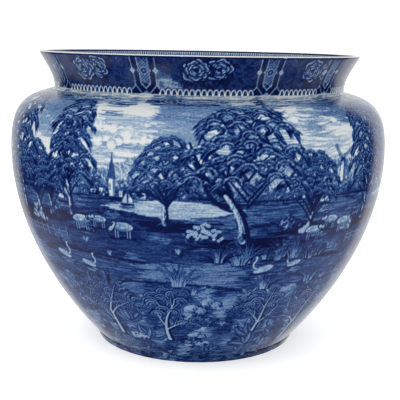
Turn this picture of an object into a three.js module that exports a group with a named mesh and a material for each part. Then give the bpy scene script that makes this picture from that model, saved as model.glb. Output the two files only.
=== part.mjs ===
// Jardiniere: a large round earthenware pot that hides a plain flower pot.
// Five fired pieces: a shouldered bowl, a flared collar, a foot ring, and the
// two rings of slip that lute the collar and the foot ring to the bowl.
// Units are millimetres, +Z is up and the pot stands on z = 0.

import * as THREE from 'three';
import { mergeVertices } from 'three/addons/utils/BufferGeometryUtils.js';

// Outside radii, from the ground up; the foot flares out to meet the waist
const FOOT_RADIUS = 97.3;
const FOOT_FLARE = 2.5;
const BELLY_RADIUS = 180;
const NECK_RADIUS = 138.9;
const LIP_RADIUS = 152;

// Heights of the stages, each on top of the one below
const FOOT_HEIGHT = 7;
const LOWER_BODY_HEIGHT = 181;
const SHOULDER_HEIGHT = 55;
const COLLAR_HEIGHT = 35;

// Thickness of the fired clay
const BOWL_WALL = 7.5;
const FLOOR_THICKNESS = 8;
const COLLAR_WALL = 7;
const LIP_THICKNESS = 5.4;
const FOOT_RING_WIDTH = 12.5;

// Lower body: the wall leaves the waist at a lean and is upright at the belly
const WAIST_LEAN = 41.8;
const WAIST_FULLNESS = 0.317;
const BELLY_FULLNESS_BELOW = 0.332;

// Shoulder: upright at the belly, nearly level where it reaches the neck
const BELLY_FULLNESS_ABOVE = 0.8;
const SHOULDER_FULLNESS = 0.6;
const SHOULDER_RISE = 14;

// Collar: upright at the neck, leaning out at the lip
const NECK_FULLNESS = 0.335;
const LIP_FULLNESS = 0.35;
const LIP_LEAN = 30.3;

// Lip edge, thrown round outside and in with a narrow flat on top
const LIP_OUTER_ROUND = 1.7;
const LIP_INNER_ROUND = 2.2;

// Luted joints: a layer of slip, its wiped fillets and the steps that locate it
const SLIP_THICKNESS = 0.8;
const NECK_FILLET = 1.8;
const REBATE_DEPTH = 3.6;
const FOOT_FILLET = 2.4;
const KEY_GROOVE_WIDTH = 3;
const KEY_GROOVE_DEPTH = 1;

// Inside of the bowl and the underside
const FLOOR_CORNER_RISE = 12;
const FLOOR_CROWN = 1.5;
const FOOT_EDGE_ROUND = 1.4;
const FOOT_INNER_DRAFT = 1.6;

// Facets
const TURNS = 56;
const LOWER_BODY_STEPS = 14;
const SHOULDER_STEPS = 10;
const COLLAR_STEPS = 6;
const CORNER_STEPS = 3;
const ROUND_STEPS = 3;
const CROWN_STEPS = 3;

// Levels and radii worked out from the sizes above
const WAIST_RADIUS = FOOT_RADIUS + FOOT_FLARE;
const BELLY_Z = FOOT_HEIGHT + LOWER_BODY_HEIGHT;
const NECK_Z = BELLY_Z + SHOULDER_HEIGHT;
const RIM_Z = NECK_Z + COLLAR_HEIGHT;
const FLOOR_Z = FOOT_HEIGHT + FLOOR_THICKNESS;
const NECK_BORE = NECK_RADIUS - COLLAR_WALL;
const STEP_RADIUS = NECK_RADIUS - COLLAR_WALL / 2;
const FOOT_BORE = WAIST_RADIUS - FOOT_RING_WIDTH;
const KEY_MIDDLE = WAIST_RADIUS - FOOT_RING_WIDTH / 2;

// A profile point: its radius from the axis and its height
const at = (radius, height) => new THREE.Vector2(radius, height);

// A point a given way off another, at a lean from upright, in degrees
function leaning(point, lean, rise) {
  const run = rise * Math.tan(THREE.MathUtils.degToRad(lean));
  return at(point.x + run, point.y + rise);
}

// The lower body's outside, from the waist up to the belly
function lowerBodyCurve() {
  const waist = at(WAIST_RADIUS, FOOT_HEIGHT);
  const belly = at(BELLY_RADIUS, BELLY_Z);
  const pullUp = leaning(waist, WAIST_LEAN, WAIST_FULLNESS * LOWER_BODY_HEIGHT);
  const pullDown = at(BELLY_RADIUS, BELLY_Z - BELLY_FULLNESS_BELOW * LOWER_BODY_HEIGHT);
  return new THREE.CubicBezierCurve(waist, pullUp, pullDown, belly);
}

// The shoulder's outside, from the belly up and in to the edge of the neck seat
function shoulderCurve() {
  const belly = at(BELLY_RADIUS, BELLY_Z);
  const seatEdge = at(NECK_RADIUS + NECK_FILLET, NECK_Z);
  const pullUp = at(BELLY_RADIUS, BELLY_Z + BELLY_FULLNESS_ABOVE * SHOULDER_HEIGHT);
  const reach = SHOULDER_FULLNESS * (BELLY_RADIUS - seatEdge.x);
  const drop = reach * Math.tan(THREE.MathUtils.degToRad(SHOULDER_RISE));
  const pullOut = at(seatEdge.x + reach, seatEdge.y - drop);
  return new THREE.CubicBezierCurve(belly, pullUp, pullOut, seatEdge);
}

// A collar face, flaring from an upright start to the lean of the lip
function flareCurve(bottom, top) {
  const height = top.y - bottom.y;
  const pullUp = at(bottom.x, bottom.y + NECK_FULLNESS * height);
  const pullDown = leaning(top, LIP_LEAN, -LIP_FULLNESS * height);
  return new THREE.CubicBezierCurve(bottom, pullUp, pullDown, top);
}

// The inner face of a wall, at one thickness inside an outside curve
function insideOf(curve, wall, steps) {
  return curve.getPoints(steps).map((point, index) => {
    const along = curve.getTangent(index / steps);
    return at(point.x - along.y * wall, point.y + along.x * wall);
  });
}

// A smooth corner: it leaves one point and reaches another, aiming at a third
function softCorner(start, aim, end, steps) {
  return new THREE.QuadraticBezierCurve(start, aim, end).getPoints(steps);
}

// A closed body turned from a profile that keeps the clay on its left
function turned(name, profile, color, roughness) {
  const lathe = new THREE.LatheGeometry(profile, TURNS);
  lathe.deleteAttribute('normal');
  lathe.deleteAttribute('uv');
  lathe.rotateX(Math.PI / 2);
  const geometry = mergeVertices(lathe, 1e-3);
  geometry.setIndex(withoutSlivers(geometry.getIndex().array));
  geometry.computeVertexNormals();
  const material = new THREE.MeshStandardMaterial({ color, roughness, metalness: 0 });
  const mesh = new THREE.Mesh(geometry, material);
  mesh.name = name;
  return mesh;
}

// Triangles that a pole or the seam has squeezed to a line are left out
function withoutSlivers(corners) {
  const kept = [];
  for (let i = 0; i < corners.length; i += 3) {
    const [a, b, c] = corners.slice(i, i + 3);
    if (a !== b && b !== c && c !== a) {
      kept.push(a, b, c);
    }
  }
  return kept;
}

// The neck seat, cut into the top of the shoulder: a level ledge, a step down
// that centres the collar, and a lower ledge that runs in to the bore
function neckSeat() {
  return [
    at(NECK_RADIUS + NECK_FILLET, NECK_Z),
    at(STEP_RADIUS, NECK_Z),
    at(STEP_RADIUS, NECK_Z - REBATE_DEPTH),
    at(NECK_BORE, NECK_Z - REBATE_DEPTH),
  ];
}

// The collar's underside, one layer of slip clear of the neck seat
function collarUnderside() {
  return [
    at(NECK_BORE, NECK_Z - REBATE_DEPTH + SLIP_THICKNESS),
    at(STEP_RADIUS - SLIP_THICKNESS, NECK_Z - REBATE_DEPTH + SLIP_THICKNESS),
    at(STEP_RADIUS - SLIP_THICKNESS, NECK_Z + SLIP_THICKNESS),
    at(NECK_RADIUS, NECK_Z + SLIP_THICKNESS),
  ];
}

// A joint face of the foot, level from its inner edge to its outer edge, with
// one square key groove turned into it halfway across the ring
function keyedFace(innerEdge, outerEdge, level, depth) {
  const half = KEY_GROOVE_WIDTH / 2;
  return [
    at(innerEdge, level),
    at(KEY_MIDDLE - half, level),
    at(KEY_MIDDLE - half, level + depth),
    at(KEY_MIDDLE + half, level + depth),
    at(KEY_MIDDLE + half, level),
    at(outerEdge, level),
  ];
}

// Underside of the bowl, where the foot is luted on
function footSeat() {
  return keyedFace(FOOT_BORE - FOOT_FILLET, WAIST_RADIUS, FOOT_HEIGHT, KEY_GROOVE_DEPTH);
}

// Top of the foot ring, under its layer of slip
function footRingTop() {
  const level = FOOT_HEIGHT - SLIP_THICKNESS;
  return keyedFace(FOOT_BORE, WAIST_RADIUS, level, -KEY_GROOVE_DEPTH);
}

// The crown under the floor rises a little towards the axis, so that only the
// foot ring ever touches the table
function underCrown() {
  const edge = at(FOOT_BORE - FOOT_FILLET, FOOT_HEIGHT);
  const middle = at(0, FOOT_HEIGHT + FLOOR_CROWN);
  const aim = at(edge.x / 2, FOOT_HEIGHT + FLOOR_CROWN);
  return softCorner(middle, aim, edge, CROWN_STEPS);
}

// The inside of the bowl from its neck bore down to the middle of the floor
function bowlInside() {
  const shoulder = insideOf(shoulderCurve(), BOWL_WALL, SHOULDER_STEPS).reverse();
  const neckRoll = softCorner(
    at(NECK_BORE, NECK_Z - REBATE_DEPTH),
    at(NECK_BORE, shoulder[0].y),
    shoulder[0],
    CORNER_STEPS,
  );
  const wall = insideOf(lowerBodyCurve(), BOWL_WALL, LOWER_BODY_STEPS).reverse();
  const clear = wall.filter((point) => point.y > FLOOR_Z + FLOOR_CORNER_RISE);
  const last = clear[clear.length - 1];
  const before = clear[clear.length - 2];
  const fall = (last.x - before.x) / (last.y - before.y);
  const corner = at(last.x - fall * (last.y - FLOOR_Z), FLOOR_Z);
  const floorEdge = at(corner.x - corner.distanceTo(last), FLOOR_Z);
  const floorCorner = softCorner(last, corner, floorEdge, CORNER_STEPS);
  return [
    ...neckRoll.slice(1, -1),
    ...shoulder,
    ...clear.slice(1, -1),
    ...floorCorner,
    at(0, FLOOR_Z),
  ];
}

// Bowl: one wall and its floor, thrown in a mould
function bowl() {
  const profile = [
    ...underCrown().slice(0, -1),
    ...footSeat().slice(0, -1),
    ...lowerBodyCurve().getPoints(LOWER_BODY_STEPS).slice(0, -1),
    ...shoulderCurve().getPoints(SHOULDER_STEPS).slice(0, -1),
    ...neckSeat(),
    ...bowlInside(),
  ];
  return turned('bowl', profile, 0x4d6d9f, 0.16);
}

// Lip: the rounded edge between the collar's outer and inner faces
function lipEdge() {
  const inner = LIP_RADIUS - LIP_THICKNESS;
  const outerRound = softCorner(
    at(LIP_RADIUS, RIM_Z - LIP_OUTER_ROUND),
    at(LIP_RADIUS, RIM_Z),
    at(LIP_RADIUS - LIP_OUTER_ROUND, RIM_Z),
    ROUND_STEPS,
  );
  const innerRound = softCorner(
    at(inner + LIP_INNER_ROUND, RIM_Z),
    at(inner, RIM_Z),
    at(inner, RIM_Z - LIP_INNER_ROUND),
    ROUND_STEPS,
  );
  return [...outerRound, ...innerRound];
}

// Collar: the flared neck, with a tongue inside that drops into the neck seat
function collar() {
  const edge = lipEdge();
  const outerStart = at(NECK_RADIUS, NECK_Z + SLIP_THICKNESS + NECK_FILLET);
  const innerStart = at(NECK_BORE, NECK_Z + SLIP_THICKNESS + NECK_FILLET);
  const outer = flareCurve(outerStart, edge[0]).getPoints(COLLAR_STEPS);
  const inner = flareCurve(innerStart, edge[edge.length - 1]).getPoints(COLLAR_STEPS);
  const profile = [
    ...collarUnderside(),
    ...outer.slice(0, -1),
    ...edge.slice(0, -1),
    ...inner.reverse(),
    collarUnderside()[0],
  ];
  return turned('collar', profile, 0x2c4a86, 0.16);
}

// Neck slip: fills the stepped joint and is wiped to a fillet outside
function neckSlip() {
  const seat = neckSeat().reverse();
  const seatEdge = seat[seat.length - 1];
  const filletTop = at(NECK_RADIUS, NECK_Z + SLIP_THICKNESS + NECK_FILLET);
  const fillet = softCorner(seatEdge, at(NECK_RADIUS, NECK_Z), filletTop, ROUND_STEPS);
  const profile = [
    ...seat,
    ...fillet.slice(1),
    ...collarUnderside().reverse(),
    seat[0],
  ];
  return turned('neck_slip', profile, 0xe6e2dc, 0.2);
}

// Foot ring: a short turned ring, drawn in towards the ground, with a bare
// flat rim to stand on
function footRing() {
  const ground = FOOT_EDGE_ROUND;
  const innerFoot = FOOT_BORE + FOOT_INNER_DRAFT;
  const outerRound = softCorner(
    at(FOOT_RADIUS - ground, 0),
    at(FOOT_RADIUS, 0),
    leaning(at(FOOT_RADIUS, 0), footDraft(), ground),
    ROUND_STEPS,
  );
  const innerRound = softCorner(
    at(innerFoot, ground),
    at(innerFoot, 0),
    at(innerFoot + ground, 0),
    ROUND_STEPS,
  );
  const filletEnd = at(FOOT_BORE, FOOT_HEIGHT - SLIP_THICKNESS - FOOT_FILLET);
  const profile = [
    filletEnd,
    ...innerRound,
    ...outerRound,
    ...footRingTop().reverse(),
    filletEnd,
  ];
  return turned('foot_ring', profile, 0x3f5f96, 0.18);
}

// Lean of the foot ring's outer face, in degrees
function footDraft() {
  return THREE.MathUtils.radToDeg(Math.atan2(FOOT_FLARE, FOOT_HEIGHT - SLIP_THICKNESS));
}

// Foot slip: the layer between ring and floor, with a fillet in the recess
function footSlip() {
  const seat = footSeat();
  const filletEnd = at(FOOT_BORE, FOOT_HEIGHT - SLIP_THICKNESS - FOOT_FILLET);
  const fillet = softCorner(seat[0], at(FOOT_BORE, FOOT_HEIGHT), filletEnd, ROUND_STEPS);
  const profile = [
    ...fillet,
    ...footRingTop(),
    ...seat.reverse(),
  ];
  return turned('foot_slip', profile, 0xe0dad0, 0.25);
}

const jardiniere = new THREE.Group();
jardiniere.add(bowl(), neckSlip(), collar(), footSlip(), footRing());

export default jardiniere;
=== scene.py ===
# %% [markdown]
# # A jardiniere with a blue print under its glaze
#
# This lesson dresses a large round earthenware pot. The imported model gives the
# bowl, the collar, the foot ring and the slip between them as plain solids.
# Here each one gets its glaze, and the bowl and the collar get their print.

# %% Tools and the frame
import math

import bpy
import numpy as np
from mathutils import Matrix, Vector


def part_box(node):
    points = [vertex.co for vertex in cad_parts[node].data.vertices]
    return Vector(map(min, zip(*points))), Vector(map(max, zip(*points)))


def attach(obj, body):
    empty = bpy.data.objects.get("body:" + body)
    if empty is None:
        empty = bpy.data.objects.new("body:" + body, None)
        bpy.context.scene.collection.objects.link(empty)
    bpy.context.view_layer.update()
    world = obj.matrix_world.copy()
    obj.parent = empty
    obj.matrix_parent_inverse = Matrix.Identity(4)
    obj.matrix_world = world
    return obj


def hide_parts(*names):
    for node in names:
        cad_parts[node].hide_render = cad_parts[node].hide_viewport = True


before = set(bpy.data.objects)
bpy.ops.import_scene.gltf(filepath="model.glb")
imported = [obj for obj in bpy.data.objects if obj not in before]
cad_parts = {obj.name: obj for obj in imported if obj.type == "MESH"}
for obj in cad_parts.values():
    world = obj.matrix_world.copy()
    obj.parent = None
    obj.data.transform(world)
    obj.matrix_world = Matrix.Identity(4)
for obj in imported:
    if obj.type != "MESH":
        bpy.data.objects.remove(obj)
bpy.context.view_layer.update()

# %% [markdown]
# ## The sizes of the pot
#
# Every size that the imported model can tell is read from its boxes, so that a
# piece made here lies where its solid lies. Work goes on in millimetres, as on
# a potter's bench, and each finished mesh is scaled to metres once.

# %% Sizes read from the frame
TURN = 2 * math.pi
MM = 0.001

bowl_low, bowl_high = (np.array(corner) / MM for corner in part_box("bowl"))
collar_high = np.array(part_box("collar")[1]) / MM
foot_high = np.array(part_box("foot_ring")[1]) / MM
slip_high = np.array(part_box("neck_slip")[1]) / MM

BELLY_RADIUS = bowl_high[0]
LIP_RADIUS = collar_high[0]
WAIST_RADIUS = foot_high[0]
SEAT_EDGE = slip_high[0]
NECK_Z = bowl_high[2]
RIM_Z = collar_high[2]
FOOT_HEIGHT = bowl_low[2]
print("radii:", *(round(float(r), 1) for r in (WAIST_RADIUS, BELLY_RADIUS, SEAT_EDGE, LIP_RADIUS)))
print("heights:", *(round(float(z), 1) for z in (FOOT_HEIGHT, NECK_Z, RIM_Z)))

# %% Sizes of the joints, walls and curves
BELLY_Z = 188.0
FOOT_RADIUS = 97.3
NECK_RADIUS = 138.9
BOWL_WALL = 7.5
COLLAR_WALL = 7.0
LIP_THICKNESS = 5.4
SLIP = 0.8
NECK_FILLET = 1.8
REBATE = 3.6
FOOT_FILLET = 2.4
FOOT_RING_WIDTH = 12.5
KEY_WIDTH = 3.0
KEY_DEPTH = 1.0
FLOOR_Z = 15.0
FLOOR_CORNER = 12.0
FLOOR_CROWN = 1.5
GROUND_ROUND = 1.4
INNER_DRAFT = 1.6
LIP_OUTER_ROUND = 1.7
LIP_INNER_ROUND = 2.2

NECK_BORE = NECK_RADIUS - COLLAR_WALL
STEP_RADIUS = NECK_RADIUS - COLLAR_WALL / 2
FOOT_BORE = WAIST_RADIUS - FOOT_RING_WIDTH
KEY_MIDDLE = WAIST_RADIUS - FOOT_RING_WIDTH / 2
FLARE_START = NECK_Z + SLIP + NECK_FILLET

# %% [markdown]
# ## Profiles
#
# A pot turned on a wheel is one line swung round an axis. The line of the wall
# is drawn as smooth curves through a few points, the same ones that the solids
# were turned from, only with many more steps so that no facet shows.

# %% Curves for a profile


def curve(points, steps):
    """A Bezier curve through its end points, pulled towards the ones between."""
    t = np.linspace(0, 1, steps + 1)[:, None]
    layer = [np.array(p, float) * np.ones_like(t) for p in points]
    while len(layer) > 1:
        layer = [a + (b - a) * t for a, b in zip(layer, layer[1:])]
    return layer[0]


def leaning(point, degrees, rise):
    """A point at a given rise above another, along a lean from upright."""
    return point[0] + rise * math.tan(math.radians(degrees)), point[1] + rise


def inside_of(line, depth):
    """The same line, moved towards the inside of the wall."""
    along = np.gradient(line, axis=0)
    along /= np.hypot(*along.T)[:, None]
    return line + np.stack([-along[:, 1], along[:, 0]], axis=1) * depth


def length_along(line):
    """Distance of each point from the first."""
    return np.r_[0, np.cumsum(np.hypot(*np.diff(line, axis=0).T))]


def evenly(line, count):
    """The same line with its points at equal distances."""
    run = length_along(line)
    at = np.linspace(0, run[-1], count)
    return np.stack([np.interp(at, run, line[:, k]) for k in (0, 1)], axis=1)


# %% The outside wall of the bowl, from the waist up to the neck
WAIST_LEAN = 41.8
SEAT_SLOPE = 14.0
LOWER_PULLS = (0.317, 0.332)
SHOULDER_PULLS = (0.8, 0.6)
LOWER_STEPS = 400
SHOULDER_STEPS = 200

lower_height = BELLY_Z - FOOT_HEIGHT
shoulder_height = NECK_Z - BELLY_Z
waist = (WAIST_RADIUS, FOOT_HEIGHT)
belly = (BELLY_RADIUS, BELLY_Z)
seat_edge = (SEAT_EDGE, NECK_Z)
reach = SHOULDER_PULLS[1] * (BELLY_RADIUS - SEAT_EDGE)
above_waist = leaning(waist, WAIST_LEAN, LOWER_PULLS[0] * lower_height)
below_belly = (BELLY_RADIUS, BELLY_Z - LOWER_PULLS[1] * lower_height)
above_belly = (BELLY_RADIUS, BELLY_Z + SHOULDER_PULLS[0] * shoulder_height)
before_seat = (SEAT_EDGE + reach, NECK_Z - reach * math.tan(math.radians(SEAT_SLOPE)))

lower_line = curve([waist, above_waist, below_belly, belly], LOWER_STEPS)
shoulder_line = curve([belly, above_belly, before_seat, seat_edge], SHOULDER_STEPS)
wall_line = np.vstack([lower_line, shoulder_line[1:]])
wall_run = length_along(wall_line)
WALL_LENGTH = float(wall_run[-1])
print("the wall is", round(WALL_LENGTH, 1), "mm long from waist to neck")

# %% The flare of the collar, outside and inside
LIP_LEAN = 30.3
FLARE_PULLS = (0.335, 0.35)

outer_edge = (LIP_RADIUS, RIM_Z - LIP_OUTER_ROUND)
inner_edge = (LIP_RADIUS - LIP_THICKNESS, RIM_Z - LIP_INNER_ROUND)


def flare(bottom, top, steps):
    """A collar face: upright where it starts, leaning out at the lip."""
    height = top[1] - bottom[1]
    upright = (bottom[0], bottom[1] + FLARE_PULLS[0] * height)
    return curve([bottom, upright, leaning(top, LIP_LEAN, -FLARE_PULLS[1] * height), top], steps)


# %% [markdown]
# ## Swinging a profile round
#
# Blender could spin each line with an operator or a Screw modifier. A small
# Geometry Nodes tree is used instead: the line becomes a curve, it is swept
# along a ring or part of one, and a Set Position node then puts every point at
# exactly its own radius and height. One tree serves every turned piece.

# %% Helpers for a node tree


def joined(tree, kind, links=None, **settings):
    """Adds a node, sets what it is told and joins its inputs."""
    node = tree.nodes.new(kind)
    for name, value in settings.items():
        setattr(node, name, value)
    for name, value in (links or {}).items():
        socket = node.inputs[name]
        if isinstance(value, bpy.types.NodeSocket):
            tree.links.new(value, socket)
        else:
            socket.default_value = value
    return node


def sum_of(tree, operation, *values):
    """A Math node on two or three values."""
    return joined(tree, "ShaderNodeMath", dict(enumerate(values)), operation=operation).outputs[0]


# %% The turning tree
WELD = 1e-7


def turning_tree():
    """Sweeps the object's line round the axis; its inputs are the ring's sizes."""
    tree = bpy.data.node_groups.new("turn_on_the_wheel", "GeometryNodeTree")
    for name, kind in (
        ("Geometry", "Geometry"), ("Steps", "Int"), ("Start", "Float"), ("Sweep", "Float"),
        ("Whole Turn", "Bool"), ("Material", "Material"),
    ):
        tree.interface.new_socket(name, in_out="INPUT", socket_type="NodeSocket" + kind)
    tree.interface.new_socket("Geometry", in_out="OUTPUT", socket_type="NodeSocketGeometry")
    given = tree.nodes.new("NodeGroupInput").outputs

    def add(kind, links=None, **settings):
        """The first output of a new node."""
        return joined(tree, kind, links, **settings).outputs[0]

    def keep(geometry, name, value, data_type):
        """The geometry, with a value stored for each of its points."""
        links = {"Geometry": geometry, "Name": name, "Value": value}
        return add("GeometryNodeStoreNamedAttribute", links, data_type=data_type, domain="POINT")

    section = add("GeometryNodeMeshToCurve", {"Mesh": given["Geometry"]})
    section = keep(section, "section", add("GeometryNodeInputPosition"), "FLOAT_VECTOR")

    ring = add("GeometryNodeCurvePrimitiveCircle", {"Resolution": given["Steps"]})
    part = add(
        "GeometryNodeCurveArc",
        {
            "Resolution": sum_of(tree, "ADD", given["Steps"], 1.0),
            "Start Angle": given["Start"],
            "Sweep Angle": given["Sweep"],
        },
    )
    either = {"Switch": given["Whole Turn"], "False": part, "True": ring}
    path = add("GeometryNodeSwitch", either, input_type="GEOMETRY")
    factor = joined(tree, "GeometryNodeSplineParameter").outputs["Factor"]
    path = keep(path, "turn", factor, "FLOAT")

    capped = add("FunctionNodeBooleanMath", {0: given["Whole Turn"]}, operation="NOT")
    swept = add("GeometryNodeCurveToMesh", {"Curve": path, "Profile Curve": section, "Fill Caps": capped})
    swept = add("GeometryNodeFlipFaces", {"Mesh": swept})

    place = add("GeometryNodeInputNamedAttribute", {"Name": "section"}, data_type="FLOAT_VECTOR")
    radius, _, height = joined(tree, "ShaderNodeSeparateXYZ", {0: place}).outputs
    turned = add("GeometryNodeInputNamedAttribute", {"Name": "turn"}, data_type="FLOAT")
    angle = sum_of(tree, "MULTIPLY_ADD", turned, given["Sweep"], given["Start"])
    across, along = (
        sum_of(tree, "MULTIPLY", radius, sum_of(tree, way, angle)) for way in ("COSINE", "SINE")
    )
    spot = add("ShaderNodeCombineXYZ", {0: across, 1: along, 2: height})
    solid = add("GeometryNodeSetPosition", {"Geometry": swept, "Position": spot})
    for kind, links in (
        ("GeometryNodeRemoveAttribute", {"Name": "section"}),
        ("GeometryNodeMergeByDistance", {"Distance": WELD}),
        ("GeometryNodeSetShadeSmooth", {}),
        ("GeometryNodeRealizeInstances", {}),
        ("GeometryNodeSetMaterial", {"Material": given["Material"]}),
    ):
        solid = add(kind, {"Geometry": solid, **links})
    joined(tree, "NodeGroupOutput", {"Geometry": solid})
    return tree


wheel = turning_tree()
print("the turning tree has", len(wheel.nodes), "nodes")

# %% A turned piece


def socket_id(tree, name):
    """The identifier by which a modifier knows an input of its tree."""
    return next(
        item.identifier for item in tree.interface.items_tree if item.in_out == "INPUT" and item.name == name
    )


def spun(name, line, steps, material, start=0.0, sweep=TURN, closed=True, run=None):
    """A plain mesh object: the line, radius and height in mm, swung round the axis."""
    line = np.asarray(line, float)
    count = len(line)
    mesh = bpy.data.meshes.new(name + "_line")
    points = np.zeros((count, 3))
    points[:, 0], points[:, 2] = line[:, 0] * MM, line[:, 1] * MM
    edges = [(k, k + 1) for k in range(count - 1)] + ([(count - 1, 0)] if closed else [])
    mesh.from_pydata(points.tolist(), edges, [])
    if run is not None:
        mesh.attributes.new("run", "FLOAT", "POINT").data.foreach_set("value", np.asarray(run, np.float32))
    piece = bpy.data.objects.new(name, mesh)
    bpy.context.scene.collection.objects.link(piece)
    modifier = piece.modifiers.new("wheel", "NODES")
    modifier.node_group = wheel
    whole = sweep == TURN
    given = {"Steps": steps, "Start": start, "Sweep": sweep, "Whole Turn": whole, "Material": material}
    for label, value in given.items():
        modifier[socket_id(wheel, label)] = value
    graph = bpy.context.evaluated_depsgraph_get()
    graph.update()
    made = bpy.data.meshes.new_from_object(piece.evaluated_get(graph))
    piece.modifiers.remove(modifier)
    piece.data = made
    made.name = name
    bpy.data.meshes.remove(mesh)
    triangles = sum(len(face.vertices) - 2 for face in made.polygons)
    print(name, "has", triangles, "triangles, volume", round(volume_of(made) * 1e6, 2), "cm3")
    return piece


def volume_of(mesh):
    """Signed volume: above zero when the faces point outwards."""
    mesh.calc_loop_triangles()
    corners = np.empty(len(mesh.vertices) * 3)
    mesh.vertices.foreach_get("co", corners)
    index = np.empty(len(mesh.loop_triangles) * 3, np.int32)
    mesh.loop_triangles.foreach_get("vertices", index)
    a, b, c = corners.reshape(-1, 3)[index.reshape(-1, 3)].transpose(1, 0, 2)
    return float(np.einsum("ij,ij->i", a, np.cross(b, c)).sum() / 6)


# %% [markdown]
# ## Engraving the print
#
# On the real pot the picture is a transfer: it was cut into a copper plate,
# printed on tissue in cobalt blue and rubbed on before glazing. Painting it by
# hand in an image editor would be one way. Here the plate is cut in code: it
# is a flat grid of tones on which strokes, dots and outlines are laid, from
# the far things to the near ones, with a seed that gives the same plate each
# time. The scene is a made-up one of parkland, sheep, swans and water plants.

# %% The copper plate
DOT = 0.5


class Plate:
    """A flat drawing of a wall, unrolled: tone 0 is bare slip and 1 the deepest blue."""

    def __init__(self, turn_length, height, shrink, seed):
        self.columns, self.rows = round(turn_length / DOT), round(height / DOT)
        self.width, self.height = self.columns * DOT, self.rows * DOT
        self.tone = np.zeros((self.rows, self.columns), np.float32)
        self.down = (np.arange(self.rows) + 0.5) * DOT
        self.across = (np.arange(self.columns) + 0.5) * DOT
        self.shrink = np.array([shrink(y) for y in self.down])
        self.rng = np.random.default_rng(seed)

    def narrow(self, y):
        """How much less of the wall a column covers at this height than at the belly."""
        return np.interp(y, self.down, self.shrink)

    def inside(self, top, low):
        """The dots between two lines that run round the pot, or two distances down."""
        down = self.down[:, None]
        return (down > top) & (down < low) & (self.across > 0)

    def dabs(self, x, y, width, tone, strength=1.0):
        """Round touches of the graver, each with its own place and width."""
        near = self.narrow(y)
        px, py = x / DOT, y / DOT
        reach = (width.max() + DOT) / 2 / DOT
        tall, wide = int(reach + 0.5), int(reach / near.min() + 0.5)
        col, row = np.floor(px).astype(int), np.floor(py).astype(int)
        top, low = max(row.min() - tall, 0), min(row.max() + tall + 1, self.rows)
        left, span = col.min() - wide, col.max() - col.min() + 2 * wide + 1
        if low <= top:
            return
        if span >= self.columns:
            left, span = 0, self.columns
        cover = np.zeros((low - top) * span, np.float32)
        for dr in range(-tall, tall + 1):
            for dc in range(-wide, wide + 1):
                away = np.hypot((row + dr + 0.5 - py), (col + dc + 0.5 - px) * near)
                full = np.clip(width / 2 / DOT + 0.5 - away, 0, 1)
                use = (full > 0) & (row + dr >= top) & (row + dr < low)
                spot = (row[use] + dr - top) * span + (col[use] + dc - left) % span
                np.maximum.at(cover, spot, full[use].astype(np.float32))
        cover = cover.reshape(low - top, span) * strength
        columns = (left + np.arange(span)) % self.columns
        part = self.tone[top:low, columns]
        self.tone[top:low, columns] = part + (tone - part) * cover

    def lines(self, x, y, width, tone, strength=1.0):
        """Strokes with points along axis 1; the width may change along each."""
        x, y = np.atleast_2d(x), np.atleast_2d(y)
        if x.shape[0] == 0:
            return
        width = np.broadcast_to(np.asarray(width, float), x.shape)
        length = np.hypot(np.diff(x, axis=1) * self.narrow(y[:, :1]), np.diff(y, axis=1)).sum(1)
        steps = int(np.clip(length.max() / DOT / 0.8, 2, 900)) + 1
        t = np.linspace(0, x.shape[1] - 1, steps)
        i = np.minimum(t.astype(int), x.shape[1] - 2)
        xs, ys, ws = (a[:, i] + (a[:, i + 1] - a[:, i]) * (t - i) for a in (x, y, width))
        self.dabs(xs.ravel(), ys.ravel(), ws.ravel(), tone, strength)

    def fill(self, x, y, tone):
        """A filled outline."""
        left, top = int(x.min() / DOT) - 1, max(int(y.min() / DOT) - 1, 0)
        right, low = int(x.max() / DOT) + 2, min(int(y.max() / DOT) + 2, self.rows)
        if low <= top:
            return
        gx = (np.arange(left, right) + 0.5) * DOT
        gy = (np.arange(top, low) + 0.5)[:, None] * DOT
        inside = np.zeros((low - top, right - left), bool)
        for ax, ay, bx, by in zip(x, y, np.roll(x, -1), np.roll(y, -1)):
            if ay != by:
                crosses = (gy < max(ay, by)) & (gy >= min(ay, by))
                inside ^= crosses & (gx < ax + (gy - ay) * (bx - ax) / (by - ay))
        columns = np.arange(left, right) % self.columns
        part = self.tone[top:low, columns]
        self.tone[top:low, columns] = part + (tone - part) * inside

    def between(self, top, low, tone):
        """Fills between two lines that run round the pot."""
        down = self.down[:, None]
        cover = np.clip((down - top) / DOT + 0.5, 0, 1) * np.clip((low - down) / DOT + 0.5, 0, 1)
        self.tone += (tone - self.tone) * cover

    def wave(self, low, high, power=1.0):
        """A random line round the pot that joins up with itself, from -1 to 1."""
        angle = self.across / self.width * TURN
        line = sum(
            np.cos(k * angle + self.rng.uniform(0, TURN)) * self.rng.normal() / k**power
            for k in range(low, high + 1)
        )
        return line / np.abs(line).max()

    def strokes(self, mask, count, length, width, tone, tilt=0.0, sway=0.1, bend=0.1, strength=1.0):
        """Short strokes, strewn wherever the mask is set."""
        rows, columns = np.nonzero(mask)
        count = int(count)
        if len(rows) == 0 or count == 0:
            return
        rng = self.rng
        pick = rng.integers(0, len(rows), count)
        x = (columns[pick] + rng.uniform(0, 1, count)) * DOT
        y = (rows[pick] + rng.uniform(0, 1, count)) * DOT
        x, y = arcs(
            x, y, tilt + rng.normal(0, sway, count), length * rng.uniform(0.5, 1.4, count),
            rng.normal(bend, abs(bend) * 0.5 + 0.02, count),
        )
        self.lines(x, y, width, tone, strength)


def arcs(x, y, angle, length, bend):
    """Curved strokes, each from its middle, direction, length and bend."""
    t = np.linspace(-0.5, 0.5, 5)
    x, y, angle, length, bend = (
        np.asarray(a, float).reshape(-1, 1) * np.ones((np.size(x), 1)) for a in (x, y, angle, length, bend)
    )
    along, off = t * length, bend * length * (0.25 - t * t) * 2
    return x + along * np.cos(angle) - off * np.sin(angle), y + along * np.sin(angle) + off * np.cos(angle)


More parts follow.
